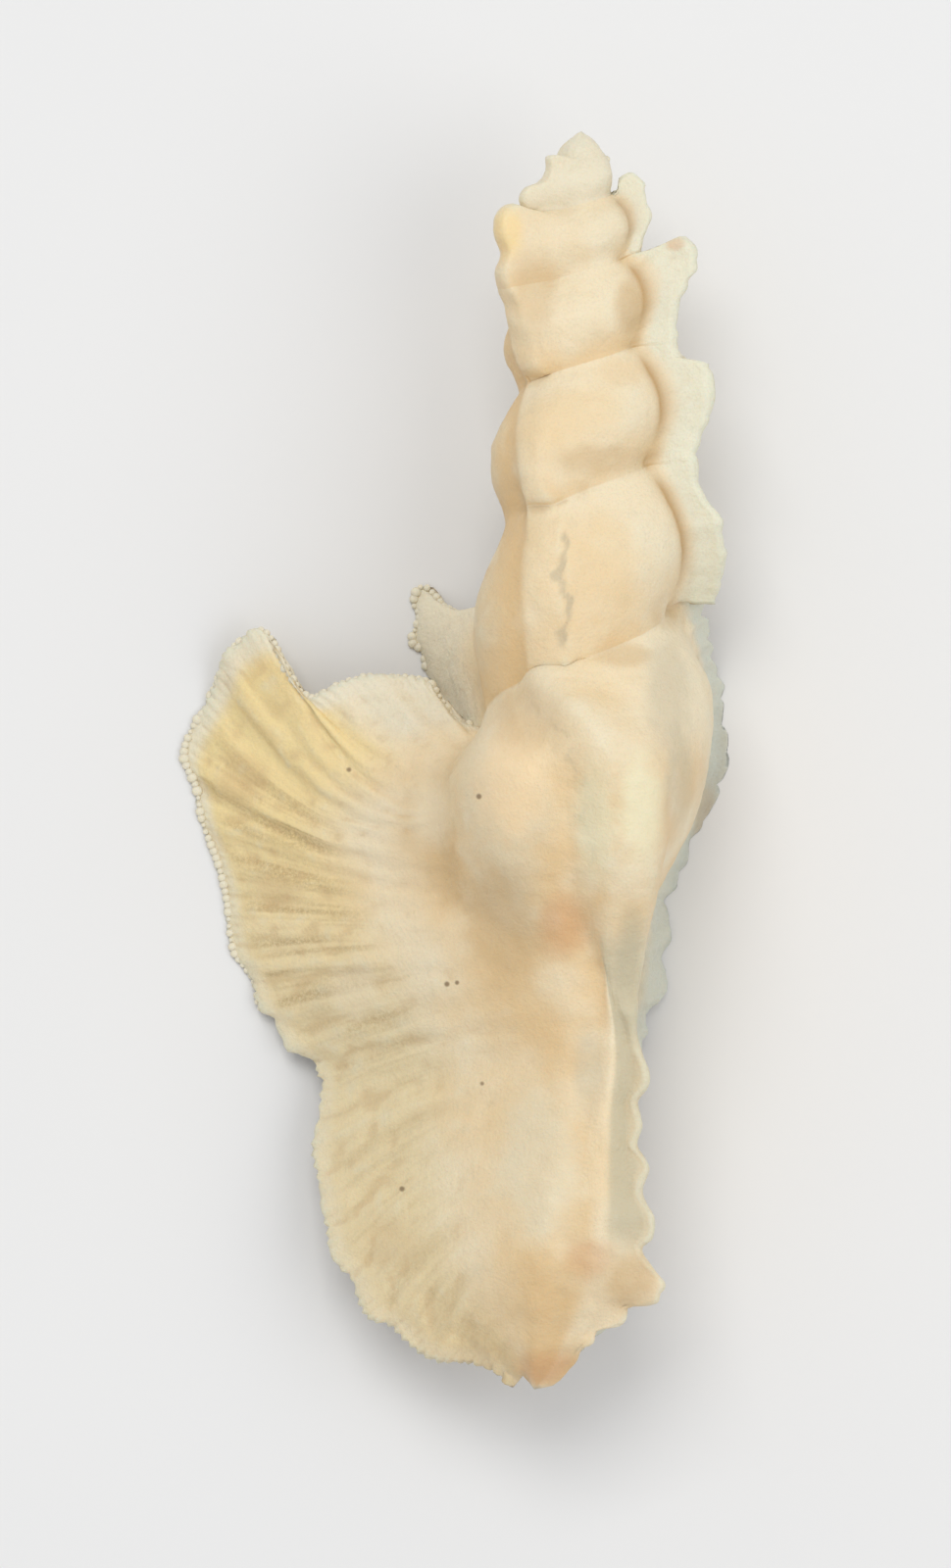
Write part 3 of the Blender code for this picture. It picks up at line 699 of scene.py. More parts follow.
class ShellBuilder:
    def __init__(self):
        self.points, self.values, self.outwards, self.faces = [], [], [], []
        self.index, self.sections, self.arcs = {}, {}, {}

    def add(self, point, values):
        self.points.append(point)
        self.values.append([values.get(name, 0) for name in pointValues])
        self.outwards.append(values.get("outward", (0, 0, 0)))
        return len(self.points) - 1

    def section(self, ridge, row):
        if (ridge, row) not in self.sections:
            self.sections[ridge, row] = WingSection(ridge, row)
        return self.sections[ridge, row]

    def edgeWay(self, ridge, row):
        # Length of the edge from the upper seam, so that ribs are evenly spaced along it.
        if ridge not in self.arcs:
            rows = fineRowList + (lowRowList if ridge < 3 else [])
            edges = [wingEdge(ridge, at) for at in rows]
            lengths = [0] + [(b - a).length for a, b in zip(edges, edges[1:])]
            self.arcs[ridge] = (rows, np.cumsum(lengths))
        return float(np.interp(row, *self.arcs[ridge]))

    def looseness(self, ridge, part, row):
        # Seams keep a crease: little at a seam and 1 away from it.
        rows, gain, least = softening["seam"]
        loose = soft(row / rows) * (soft((seamRow - row) / rows) if ridge > 2 else 1) * gain + least
        if ridge >= softening["oldRidge"]:
            loose *= softening["oldShare"]
        if ridge == 1 and part != "body":
            least, gain, rows = softening["topRidge"]
            loose = max(loose, least + gain * soft(row / rows))
        return loose

    def gridPoint(self, column, row):
        family, part, share = turnPlan[column % turnColumns]
        ridge = column // turnColumns * 3 + family
        common = {"rowPlace": row, "turnBack": column / turnColumns, "wallPlace": min(1, row / seamRow)}
        if column == 0 or (column == turnColumns and row > seamRow):
            values = dict(common, inside=0.6, slack=softening["rim"])
            return mouthPoint(Spot(ridge, "newer", 0), row), values
        common["slack"] = self.looseness(ridge, part, row)
        if part == "body":
            return self.bodyPlace(ridge, share, row, common)
        if ridge > coil["oldestRidge"]:
            newer, middle, older = rootAngles(ridge, row)
            spread = {"newerFace": 0.5 * share, "olderFace": 1 - 0.5 * share}.get(part, 0.5)
            radius, drop = bodyProfile(Spot(ridge, "middle", 0), row)
            return place(between(newer, older, spread), radius, drop), common
        return self.wingPlace(ridge, part, share, row, common)

    def bodyPlace(self, ridge, share, row, common):
        family, old = ridge % 3, ridge > 2
        spot = Spot(ridge, "body", share)
        radius, drop = bodyProfile(spot, row)
        angle = spot.angle(row)
        point = place(angle, radius, drop)
        if ridge == 0:
            point.z += canalHump(row)
        width = radians(rootAngles(ridge + 1, row)[0] - rootAngles(ridge, row)[2]) * radius
        groove = exp(-(1 - share) * width / raising["grooveReach"])
        groove *= (1 if family == 1 else 0) if old else (0.45 if ridge == 0 and row < 14 else 0)
        flank = soft(share / 0.25) * (1 if old else 0.3) if family == 0 else 0
        if family == 1 and row <= mouthRow:
            least, start, span = softening["besideRightRidge"]
            common["slack"] *= between(1, least, soft((share - start) / span))
        way = radians(angle) * radius
        return point, dict(common, edgeWay=drop, growthWay=way, ribScale=1, groove=groove, flank=flank)

    def wingPlace(self, ridge, part, share, row, common):
        family, old = ridge % 3, ridge > 2
        section = self.section(ridge, row)
        reach = 1 if part == "crest" else share
        near = exp(-(1 - reach) * section.length / raising["edgeReach"])
        side = {"newerFace": -1, "crest": 0, "olderFace": 1}[part]
        pitch = ridges["scallopPitch"].get(ridge, ridges["oldScallopPitch"])
        depth = ridges["scallopDepth"].get(ridge, ridges["oldScallopDepth"])
        gain, start, span = raising["scallopGrowth"].get(ridge, (0, 0, 1))
        depth *= 1 + gain * soft((row - start) / span)
        fade = min(1, section.length / raising["fullLength"]) * min(1, row)
        fade *= min(1, (tipRow - row) / raising["tipFade"])
        fade *= 1 - section.rounded
        low, high = raising["upperRibs"]
        ribs = low + high * near**2 if side >= 0 else raising["lowerRibs"]
        ribs *= raising["ribs"].get(ridge, raising["oldRibs"])
        ribs = ribs * fade * soft(reach / raising["ribStart"])
        flat = softening["sheets"].get(ridge, 0) * (1 - near)
        start, span = softening["roots"]
        thin = max(1 - soft((reach - start) / span), flat)
        if ridge == 0:
            # Calm where the rows of the left wing run close together beside its notch.
            ribs *= 1 - exp(-((row - raising["calmRow"]) ** 2)) * soft((1 - reach) / 0.08)
        if ridge == 0 and row < mouthRow:
            least, span = softening["leftRoot"]
            thin *= between(least, 1, soft(reach / span))
        loss = softening["crestLoss"]["spire" if ridge >= softening["spireRidge"] else "low"]
        firm = 1 - soft((reach - 0.5) / 0.5) * loss
        if ridge == 4 and part == "olderFace":
            firm = 1 - 0.85 * soft((reach - 0.5) / 0.2) * (1 - 0.8 * soft((reach - 0.92) / 0.07))
        elif part == "newerFace" and not old:
            least, most, span = softening["newestFaces"]
            firm *= between(least, most, soft(reach / span))
        common["slack"] *= between(thin, firm, section.rounded)
        values = dict(
            common, wingShare=reach * (1 - section.rounded), edgeNear=near, faceSide=side,
            edgeWay=self.edgeWay(ridge, row), growthWay=reach * section.length,
            ribGain=ribs, ribScale=pitch / raising["ribPitch"],
            scallopGain=depth * near * fade, scallopScale=pitch, outward=tuple(section.outward),
            leftWing=float(ridge == 0), stripWing=float(ridge == 2), furrow=section.furrow(part, share))
        # Marks the strip that the material greys as painted shade.
        if ridge == 1 and side <= 0:
            values["canalStrip"] = window(soft((reach - 0.35) / 0.2), row, *raising["stripRows"])
        if family == 1 and side < 0 and old:
            values["flank"] = soft((1 - share) / 0.5)
        if family == 2 and old:
            values["rightRidge"] = reach
            values["groove"] = exp(-reach * section.length / raising["grooveReach"]) if side < 0 else 0
        if ridge == 3:
            values["smallWing"] = reach
        return section.point(part, share), values

    def buildGrid(self):
        apex = self.add(place(0, 0, 0), {"turnBack": 7})
        canalTip = self.add(place(0, 0, coil["length"]), {"rowPlace": 35, "leftWing": 1})
        for column in range(lastColumn, -1, -1):
            rows = rowsOf(column)
            for n, row in enumerate(rows):
                if column == lastColumn or (n == 0 and column >= lastColumn - turnColumns):
                    self.index[column, n] = apex
                elif n == 0:
                    self.index[column, n] = self.index[column + turnColumns, spireCuts]
                elif row == tipRow:
                    self.index[column, n] = canalTip
                elif column == 0 and row >= mouthRow:
                    self.index[column, n] = self.index[turnColumns, n - fineCuts + spireCuts]
                else:
                    self.index[column, n] = self.add(*self.gridPoint(column, row))

    def addFace(self, corners):
        kept = [c for n, c in enumerate(corners) if c not in corners[:n]]
        if len(kept) > 2:
            self.faces.append(kept)

    def buildFaces(self):
        ratio = grid["lastCutsPerSpire"]
        for column in range(lastColumn, 0, -1):
            old, new = rowsOf(column), rowsOf(column - 1)
            if column != turnColumns:
                for n in range(min(len(old), len(new)) - 1):
                    self.addFace([self.index[column, n], self.index[column - 1, n],
                                  self.index[column - 1, n + 1], self.index[column, n + 1]])
                continue
            for n in range(spireCuts):
                fine = [self.index[column - 1, ratio * n + k] for k in range(ratio + 1)]
                self.addFace([self.index[column, n]] + fine + [self.index[column, n + 1]])
            for n in range(len(lowRowList)):
                a, b = spireCuts + n, fineCuts + n
                self.addFace([self.index[column, a], self.index[column - 1, b],
                              self.index[column - 1, b + 1], self.index[column, a + 1]])

    def buildHollow(self):
        # Rings that wind in behind the opening, and its closed end.
        mouthEnd = fineCuts + grid["mouthCuts"]
        loop = [self.index[0, n] for n in range(mouthEnd + 1)]
        upward = range(spireCuts + grid["mouthCuts"] - 1, spireCuts, -1)
        loop += [self.index[turnColumns, n] for n in upward]
        rim = [self.points[n] for n in loop]
        sections = SmoothCurve(opening["sections"])
        rings = []
        total = int(opening["sections"][-1][0]) * opening["ringsPerSection"]
        for n in range(total + 1):
            angle, radius, drop, halfWidth, halfHeight = sections.at(n / opening["ringsPerSection"])
            ring = []
            for k in range(len(rim)):
                if k <= mouthEnd:
                    way = 0.5 * pi - pi * k / mouthEnd
                else:
                    way = -0.5 * pi - pi * (k - mouthEnd) / (len(rim) - mouthEnd)
                ring.append(place(angle, radius + halfWidth * cos(way), drop - halfHeight * sin(way)))
            rings.append(ring)
        entry = [[edge.lerp(inner, share) for edge, inner in zip(rim, rings[0])]
                 for share in opening["entryShares"]]
        for ring in entry + rings:
            inner = [self.add(point, {"inside": 1}) for point in ring]
            for k in range(len(loop)):
                after = (k + 1) % len(loop)
                self.addFace([loop[k], inner[k], inner[after], loop[after]])
            loop = inner
        end = self.add(place(*opening["end"]), {"inside": 1})
        for k in range(len(loop)):
            self.addFace([loop[k], end, loop[(k + 1) % len(loop)]])


def meshPoints(mesh, what="co"):
    numbers = np.empty(len(mesh.vertices) * 3, np.float32)
    mesh.vertices.foreach_get(what, numbers)
    return numbers.reshape(-1, 3).astype(float)


def neighbourMean(mesh):
    # Returns a function that gives the mean of each point's neighbours.
    count = len(mesh.vertices)
    pairs = np.empty(len(mesh.edges) * 2, np.int32)
    mesh.edges.foreach_get("vertices", pairs)
    ends = np.concatenate([pairs[0::2], pairs[1::2]])
    others = np.concatenate([pairs[1::2], pairs[0::2]])
    degree = np.maximum(np.bincount(ends, minlength=count), 1)[:, None]

    def mean(points):
        return np.stack([np.bincount(ends, points[others, k], count) for k in range(3)], axis=1) / degree
    return mean


def relax(mesh, slack, passes):
    # Softens creases where slack is near 1 and leaves edges of wings sharp.
    points, mean = meshPoints(mesh), neighbourMean(mesh)
    share = 0.5 * np.clip(slack, 0, 1)[:, None]
    for _ in range(passes):
        points += share * (mean(points) - points)
    mesh.vertices.foreach_set("co", points.astype(np.float32).ravel())
    mesh.update()


def addObject(name, data):
    made = bpy.data.objects.new(name, data)
    bpy.context.scene.collection.objects.link(made)
    return made


def onStand(point):
    # From the coil's own frame to the stand, still in millimetres.
    return point + Vector((coil["shiftAcross"], coil["shiftAlong"], coil["shiftUp"]))


def loftShell():
    builder = ShellBuilder()
    builder.buildGrid()
    builder.buildFaces()
    builder.buildHollow()
    mesh = bpy.data.meshes.new("shellSkin")
    mesh.from_pydata([onStand(point) * mm for point in builder.points], [], builder.faces)
    mesh.update()
    values = np.array(builder.values)
    for n, name in enumerate(pointValues):
        layer = mesh.attributes.new(name, "FLOAT", "POINT")
        layer.data.foreach_set("value", values[:, n].astype(np.float32))
    relax(mesh, values[:, pointValues.index("slack")], softening["passes"])
    layer = mesh.attributes.new("outward", "FLOAT_VECTOR", "POINT")
    layer.data.foreach_set("vector", np.array(builder.outwards, np.float32).ravel())
    triangles = sum(len(polygon.vertices) - 2 for polygon in mesh.polygons)
    print("lofted", len(mesh.vertices), "points", triangles, "triangles")
    return addObject("shellSkin", mesh)


class Wire:
    # A socket that can be used in sums; works in shader trees and in geometry trees.
    def __init__(self, bench, socket):
        self.bench, self.socket = bench, socket

    def sum(self, operation, *others):
        if self.socket.type == "VECTOR":
            return self.bench.make("ShaderNodeVectorMath", {"operation": operation}, [self, *others])
        return self.bench.make("ShaderNodeMath", {"operation": operation}, [self, *others])

    def __add__(self, other):
        return self.sum("ADD", other)

    def __sub__(self, other):
        return self.sum("SUBTRACT", other)

    def __mul__(self, other):
        return self.sum("MULTIPLY", other)

    def __truediv__(self, other):
        return self.sum("DIVIDE", other)

    def __radd__(self, other):
        return self.sum("ADD", other)

    def __rmul__(self, other):
        return self.sum("MULTIPLY", other)

    def __rsub__(self, other):
        return self.bench.make("ShaderNodeMath", {"operation": "SUBTRACT"}, [other, self])

    def __rtruediv__(self, other):
        return self.bench.make("ShaderNodeMath", {"operation": "DIVIDE"}, [other, self])

    def sine(self):
        return self.sum("SINE")

    def size(self):
        return self.sum("ABSOLUTE")

    def clipped(self):
        return self.bench.make("ShaderNodeClamp", {}, [self, 0, 1])

    def scaled(self, factor):
        values = {"Vector": self, "Scale": factor}
        return self.bench.make("ShaderNodeVectorMath", {"operation": "SCALE"}, values)

    def ramp(self, low, high):
        # Soft step between two values of this socket.
        return self.bench.make(
            "ShaderNodeMapRange", {"interpolation_type": "SMOOTHSTEP"},
            {"Value": self, "From Min": low, "From Max": high, "To Min": 0, "To Max": 1})


class Bench:
    # Makes nodes in one tree.
    def __init__(self, tree):
        self.tree = tree

    def node(self, kind, settings, values):
        made = self.tree.nodes.new(kind)
        for name, setting in settings.items():
            setattr(made, name, setting)
        pairs = values.items() if isinstance(values, dict) else enumerate(values)
        for key, value in pairs:
            socket = made.inputs[key]
            if isinstance(value, Wire):
                self.tree.links.new(value.socket, socket)
            elif socket.type in ("RGBA", "VECTOR") and isinstance(value, (int, float)):
                socket.default_value = [value] * len(socket.default_value)
            else:
                socket.default_value = value
        return made

    def make(self, kind, settings, values, output=0):
        return Wire(self, self.node(kind, settings, values).outputs[output])

    def mixColour(self, share, first, second):
        return self.make("ShaderNodeMix", {"data_type": "RGBA"}, {0: share, 6: first, 7: second}, output=2)


# Relief raised by the nodes, in millimetres.
relief = {
    "Rib Pitch": 0.85,
    "Rib Height": 0.12,
    "Scallop Depth": 1.0,
    "Fold Pitch": 3.3,
    "Fold Height": 0.18,
    "Fold Tilt": 4.0,
    "Growth Pitch": 1.7,
    "Growth Height": 0.02,
    "Lump Height": 0.2,
    "Fine Lump Height": 0.07,
    "Seed": 7.0,
}


def startTree(name, sizes):
    # A geometry tree with one named input for each size.
    tree = bpy.data.node_groups.new(name, "GeometryNodeTree")
    tree.interface.new_socket("Geometry", in_out="INPUT", socket_type="NodeSocketGeometry")
    for size, value in sizes.items():
        tree.interface.new_socket(size, in_out="INPUT", socket_type="NodeSocketFloat").default_value = value
    tree.interface.new_socket("Geometry", in_out="OUTPUT", socket_type="NodeSocketGeometry")
    bench = Bench(tree)
    start = bench.node("NodeGroupInput", {}, {})
    return bench, {size: Wire(bench, start.outputs[size]) for size in ["Geometry", *sizes]}


def endTree(bench, geometry, material):
    dressed = bench.make("GeometryNodeSetMaterial", {}, {"Geometry": geometry, "Material": material})
    bench.node("NodeGroupOutput", {}, {"Geometry": dressed})
    return bench.tree


def reliefTree(material):
    bench, inputs = startTree("shellRelief", relief)

    def kept(name, kind="FLOAT"):
        made = bench.node("GeometryNodeInputNamedAttribute", {"data_type": kind}, {"Name": name})
        return Wire(bench, next(out for out in made.outputs if out.enabled))

    position = bench.make("GeometryNodeInputPosition", {}, [])
    normal = bench.make("GeometryNodeInputNormal", {}, [])
    spots = position.scaled(1000)

    def noise(scale, detail=2, shift=0):
        made = bench.make("ShaderNodeTexNoise", {"noise_dimensions": "4D"},
                          {"Vector": spots, "W": inputs["Seed"] + shift, "Scale": scale, "Detail": detail})
        return made - 0.5

    edgeWay, share, near = kept("edgeWay"), kept("wingShare"), kept("edgeNear")
    wander = noise(0.55, 1)
    ribs = ((edgeWay / (inputs["Rib Pitch"] * kept("ribScale")) + wander * 0.9) * (2 * pi)).sine()
    beads = (kept("growthWay") * 5.2 + wander * 6).sine() * 0.3 + 1
    ribHeight = ribs * beads * kept("ribGain") * inputs["Rib Height"]
    # Folds climb inwards over the lower part of the wing.
    tilt = (1 - share) * kept("rowPlace").ramp(11, 24) * inputs["Fold Tilt"]
    foldWay = ((edgeWay + tilt) / inputs["Fold Pitch"] + wander * 1.1) * (2 * pi)
    foldHeight = foldWay.sine() * share * (1 - near * 0.7) * kept("leftWing") * inputs["Fold Height"]
    growth = (kept("growthWay") / inputs["Growth Pitch"] + noise(0.3, 1, 3) * 2.5) * (2 * pi)
    calm = 1 - kept("inside").clipped()
    growthHeight = growth.sine() * inputs["Growth Height"] * share.ramp(0.1, 0.35) * calm
    lumps = noise(0.42, 2, 9) * inputs["Lump Height"] + noise(1.2, 2, 13) * inputs["Fine Lump Height"]
    lumps = lumps * calm * 2
    rise = (ribHeight + foldHeight + growthHeight + lumps) * mm

    lobes = ((edgeWay / kept("scallopScale") + wander * 1.3) * pi).sine().size() - 0.62
    rough = noise(1.6, 2, 5) * 0.9
    out = (lobes + rough) * kept("scallopGain") * inputs["Scallop Depth"] * mm
    offset = normal.scaled(rise) + kept("outward", "FLOAT_VECTOR").scaled(out)

    moved = bench.make("GeometryNodeSetPosition", {}, {"Geometry": inputs["Geometry"], "Offset": offset})
    real = bench.make("GeometryNodeRealizeInstances", {}, {"Geometry": moved})
    return endTree(bench, real, material)


def applyTree(piece, tree, values):
    # Runs a geometry tree on a piece and keeps the plain mesh that comes out.
    modifier = piece.modifiers.new(tree.name, "NODES")
    modifier.node_group = tree
    for item in tree.interface.items_tree:
        if item.in_out == "INPUT" and item.name in values:
            modifier[item.identifier] = values[item.name]
    graph = bpy.context.evaluated_depsgraph_get()
    finished = bpy.data.meshes.new_from_object(piece.evaluated_get(graph))
    piece.modifiers.remove(modifier)
    piece.data = finished


# Fine beads along the margins of the two left wings, in millimetres.
margin = {
    "Bead Pitch": 0.42,
    "Bead Radius": 0.24,
    "Bead Flatness": 0.6,
    "Bead Spread": 0.45,
    "Seed": 4.0,
}
# The line they stand on: its rows on each wing, its steps, how far outside the edge, how many radii up.
beading = {"rows": {0: (0.4, 18), 3: (0.8, 9.6)}, "steps": 400, "outset": 0.2, "radiiUp": 0.8}


def beadTree(material):
    bench, inputs = startTree("marginBeads", margin)
    line = bench.make("GeometryNodeMeshToCurve", {}, {"Mesh": inputs["Geometry"]})
    pitch = inputs["Bead Pitch"] * mm
    walk = bench.make("GeometryNodeCurveToPoints", {"mode": "LENGTH"}, {"Curve": line, "Length": pitch})
    radius = inputs["Bead Radius"] * mm
    bead = bench.make("GeometryNodeMeshIcoSphere", {}, {"Radius": radius, "Subdivisions": 2})
    least, most = 1 - inputs["Bead Spread"], inputs["Bead Spread"] + 1
    values = {2: least, 3: most, 8: inputs["Seed"]}
    size = bench.make("FunctionNodeRandomValue", {"data_type": "FLOAT"}, values, output=1)
    shape = bench.make("ShaderNodeCombineXYZ", {}, [size, size, size * inputs["Bead Flatness"]])
    values = {"Points": walk, "Instance": bead, "Scale": shape}
    copies = bench.make("GeometryNodeInstanceOnPoints", {}, values)
    real = bench.make("GeometryNodeRealizeInstances", {}, {"Geometry": copies})
    for name in ("wingShare", "edgeNear", "leftWing"):
        stored = {"Geometry": real, "Name": name, "Value": 1}
        real = bench.make("GeometryNodeStoreNamedAttribute", {}, stored)
    smooth = bench.make("GeometryNodeSetShadeSmooth", {}, {"Geometry": real})
    return endTree(bench, smooth, material)


def beadMargins(material):
    points, edges = [], []
    for ridge, (first, last) in beading["rows"].items():
        for n in range(beading["steps"] + 1):
            section = WingSection(ridge, between(first, last, n / beading["steps"]))
            point = onStand(section.edge + section.outward * beading["outset"])
            point.z = max(point.z, margin["Bead Radius"] * beading["radiiUp"])
            if n:
                edges.append((len(points) - 1, len(points)))
            points.append(point * mm)
    mesh = bpy.data.meshes.new("wingMargin")
    mesh.from_pydata(points, edges, [])
    beads = addObject("wingMargin", mesh)
    applyTree(beads, beadTree(material), margin)
    print("beaded the margins with", len(beads.data.vertices), "points")
    return beads


def keepHollows(mesh):
    # Stores how hollow or proud each point is, over a short and a long reach, for painted shade in hollows
    # and wear on proud places.
    points = meshPoints(mesh)
    # A wing that would dip below the floor flattens out over it and keeps some thickness.
    least, up = coil["floorSoftness"] * mm, points[:, 2]
    points[:, 2] = np.where(up < least, least * np.exp(np.minimum(up - least, 0) / least), up)
    mesh.vertices.foreach_set("co", points.astype(np.float32).ravel())
    mesh.update()
    normals, mean = meshPoints(mesh, "normal"), neighbourMean(mesh)
    smoothed = points.copy()
    for name, passes, gain in (("hollowNear", 6, 9000), ("hollowWide", 70, 1500)):
        for _ in range(passes):
            smoothed = 0.5 * smoothed + 0.5 * mean(smoothed)
        depth = ((smoothed - points) * normals).sum(axis=1) * gain
        layer = mesh.attributes.new(name, "FLOAT", "POINT")
        layer.data.foreach_set("value", np.clip(depth, -1, 1).astype(np.float32))


def screen(red, green, blue):
    # A colour picked on a screen, as the shader wants it.
    shares = [v / 255 for v in (red, green, blue)]
    return [((v + 0.055) / 1.055) ** 2.4 for v in shares] + [1]


# Colours of the shell, as they look on a screen.
finish = {
    "cream": (233, 217, 183),
    "warmCream": (229, 204, 160),
    "amber": (221, 186, 132),
    "tan": (197, 165, 116),
    "umber": (186, 150, 100),
    "furrowGrey": (176, 164, 136),
    "peach": (243, 214, 168),
    "bone": (222, 221, 198),
    "dust": (190, 178, 150),
    "wingYellow": (237, 211, 148),
    "wingBeige": (225, 206, 160),
    "wingBand": (166, 140, 92),
    "margin": (228, 218, 192),
    "stripGrey": (200, 206, 194),
    "apexGrey": (223, 218, 195),
    "porcelain": (246, 236, 218),
    "rust": (206, 154, 104),
    # Grey used for painted shade.
    "yolk": (240, 208, 140),
    "smoke": (192, 181, 150),
    "butter": (233, 229, 194),
    "speck": (120, 96, 66),
}
roughness = 0.5
# The shader's own numbers that are the same all over the shell.
gloss = {
    "Specular IOR Level": 0.35,
    "Coat Weight": 0.05,
    "Coat Roughness": 0.3,
    "Subsurface Weight": 0.15,
    "Subsurface Radius": (1, 0.6, 0.35),
    "Subsurface Scale": 0.0015,
}

# Single marks, in millimetres on the piece: colour, across, along, half sizes across and along, strength.
marks = [
    ("rust", 6.3, -9.7, 1.9, 2.4, 0.55),
    # Painted shade on the lower slope of the dome.
    ("tan", 3, -9.6, 3.2, 4.6, 0.5),
    ("rust", 5.6, -36.4, 2.6, 1.6, 0.5),
    ("rust", 7.9, -29.6, 1.7, 1.5, 0.4),
    ("rust", 13.1, 30.7, 0.7, 0.5, 0.4),
    ("yolk", 3, 31.4, 1.3, 2, 0.6),
    ("tan", 10.4, 26.9, 1.2, 2.2, 0.6),
    ("butter", 10.9, -2.9, 1.6, 4, 0.6),
    # Painted shade in the hollow between the ridge beside the canal and the swelling right of it.
    ("smoke", 13.3, -1.4, 1.1, 4, 0.6),
    # Peach of the dome, with a painted highlight on its top.
    ("peach", 3.2, -1.2, 2.7, 4.6, 0.75),
    ("tan", 4.7, 27.8, 1.7, 3, 0.4),
    ("tan", 10.3, -30.9, 2, 2.2, 0.6),
    ("umber", 15, -3.4, 0.9, 3.4, 0.4),
    # Painted shade along the bottom of a turn, above its seam.
    ("tan", 8.6, 17.7, 3.6, 1.2, 0.45),
    # Painted shade in the groove between the ridge above and the dome.
    ("tan", 4.2, 2.5, 2.8, 2.7, 0.4),
    ("tan", 12.6, 8.8, 1.4, 1.4, 0.35),
    # Painted shade along the bottom of a turn, above its seam.
    ("tan", 10, 6.2, 2.2, 0.9, 0.45),
    ("dust", 12.6, 3.8, 1.8, 4.4, 0.5),
    ("bone", 5, -24, 3.2, 6, 0.4),
    # Painted shade on the flange of the ridge beside the canal.
    ("smoke", 10.4, -13, 1.3, 5.2, 0.7),
    ("dust", 7.9, -18.4, 1.2, 3.4, 0.45),
    ("tan", -13, -1.2, 2, 2, 0.4),
    ("tan", -10.8, -7.9, 2, 1.4, 0.3),
    ("cream", -1.4, -3.4, 1.5, 2.6, 0.6),
    ("cream", -6.1, -13.8, 2, 2.2, 0.5),
    ("butter", 8.2, -3.6, 1.5, 4.5, 0.5),
    ("amber", 9.8, 23, 1.8, 1.2, 0.3),
    ("tan", -3.8, -29.2, 2.4, 2, 0.25),
    ("speck", -6.4, -0.6, 0.22, 0.2, 0.8),
    ("speck", 1.4, -2.2, 0.2, 0.2, 0.8),
    ("speck", -0.5, -13.4, 0.2, 0.2, 0.8),
    ("speck", 0.1, -13.3, 0.16, 0.16, 0.8),
    ("speck", 1.6, -19.3, 0.18, 0.18, 0.7),
    ("speck", -3.2, -25.7, 0.22, 0.2, 0.8),
]


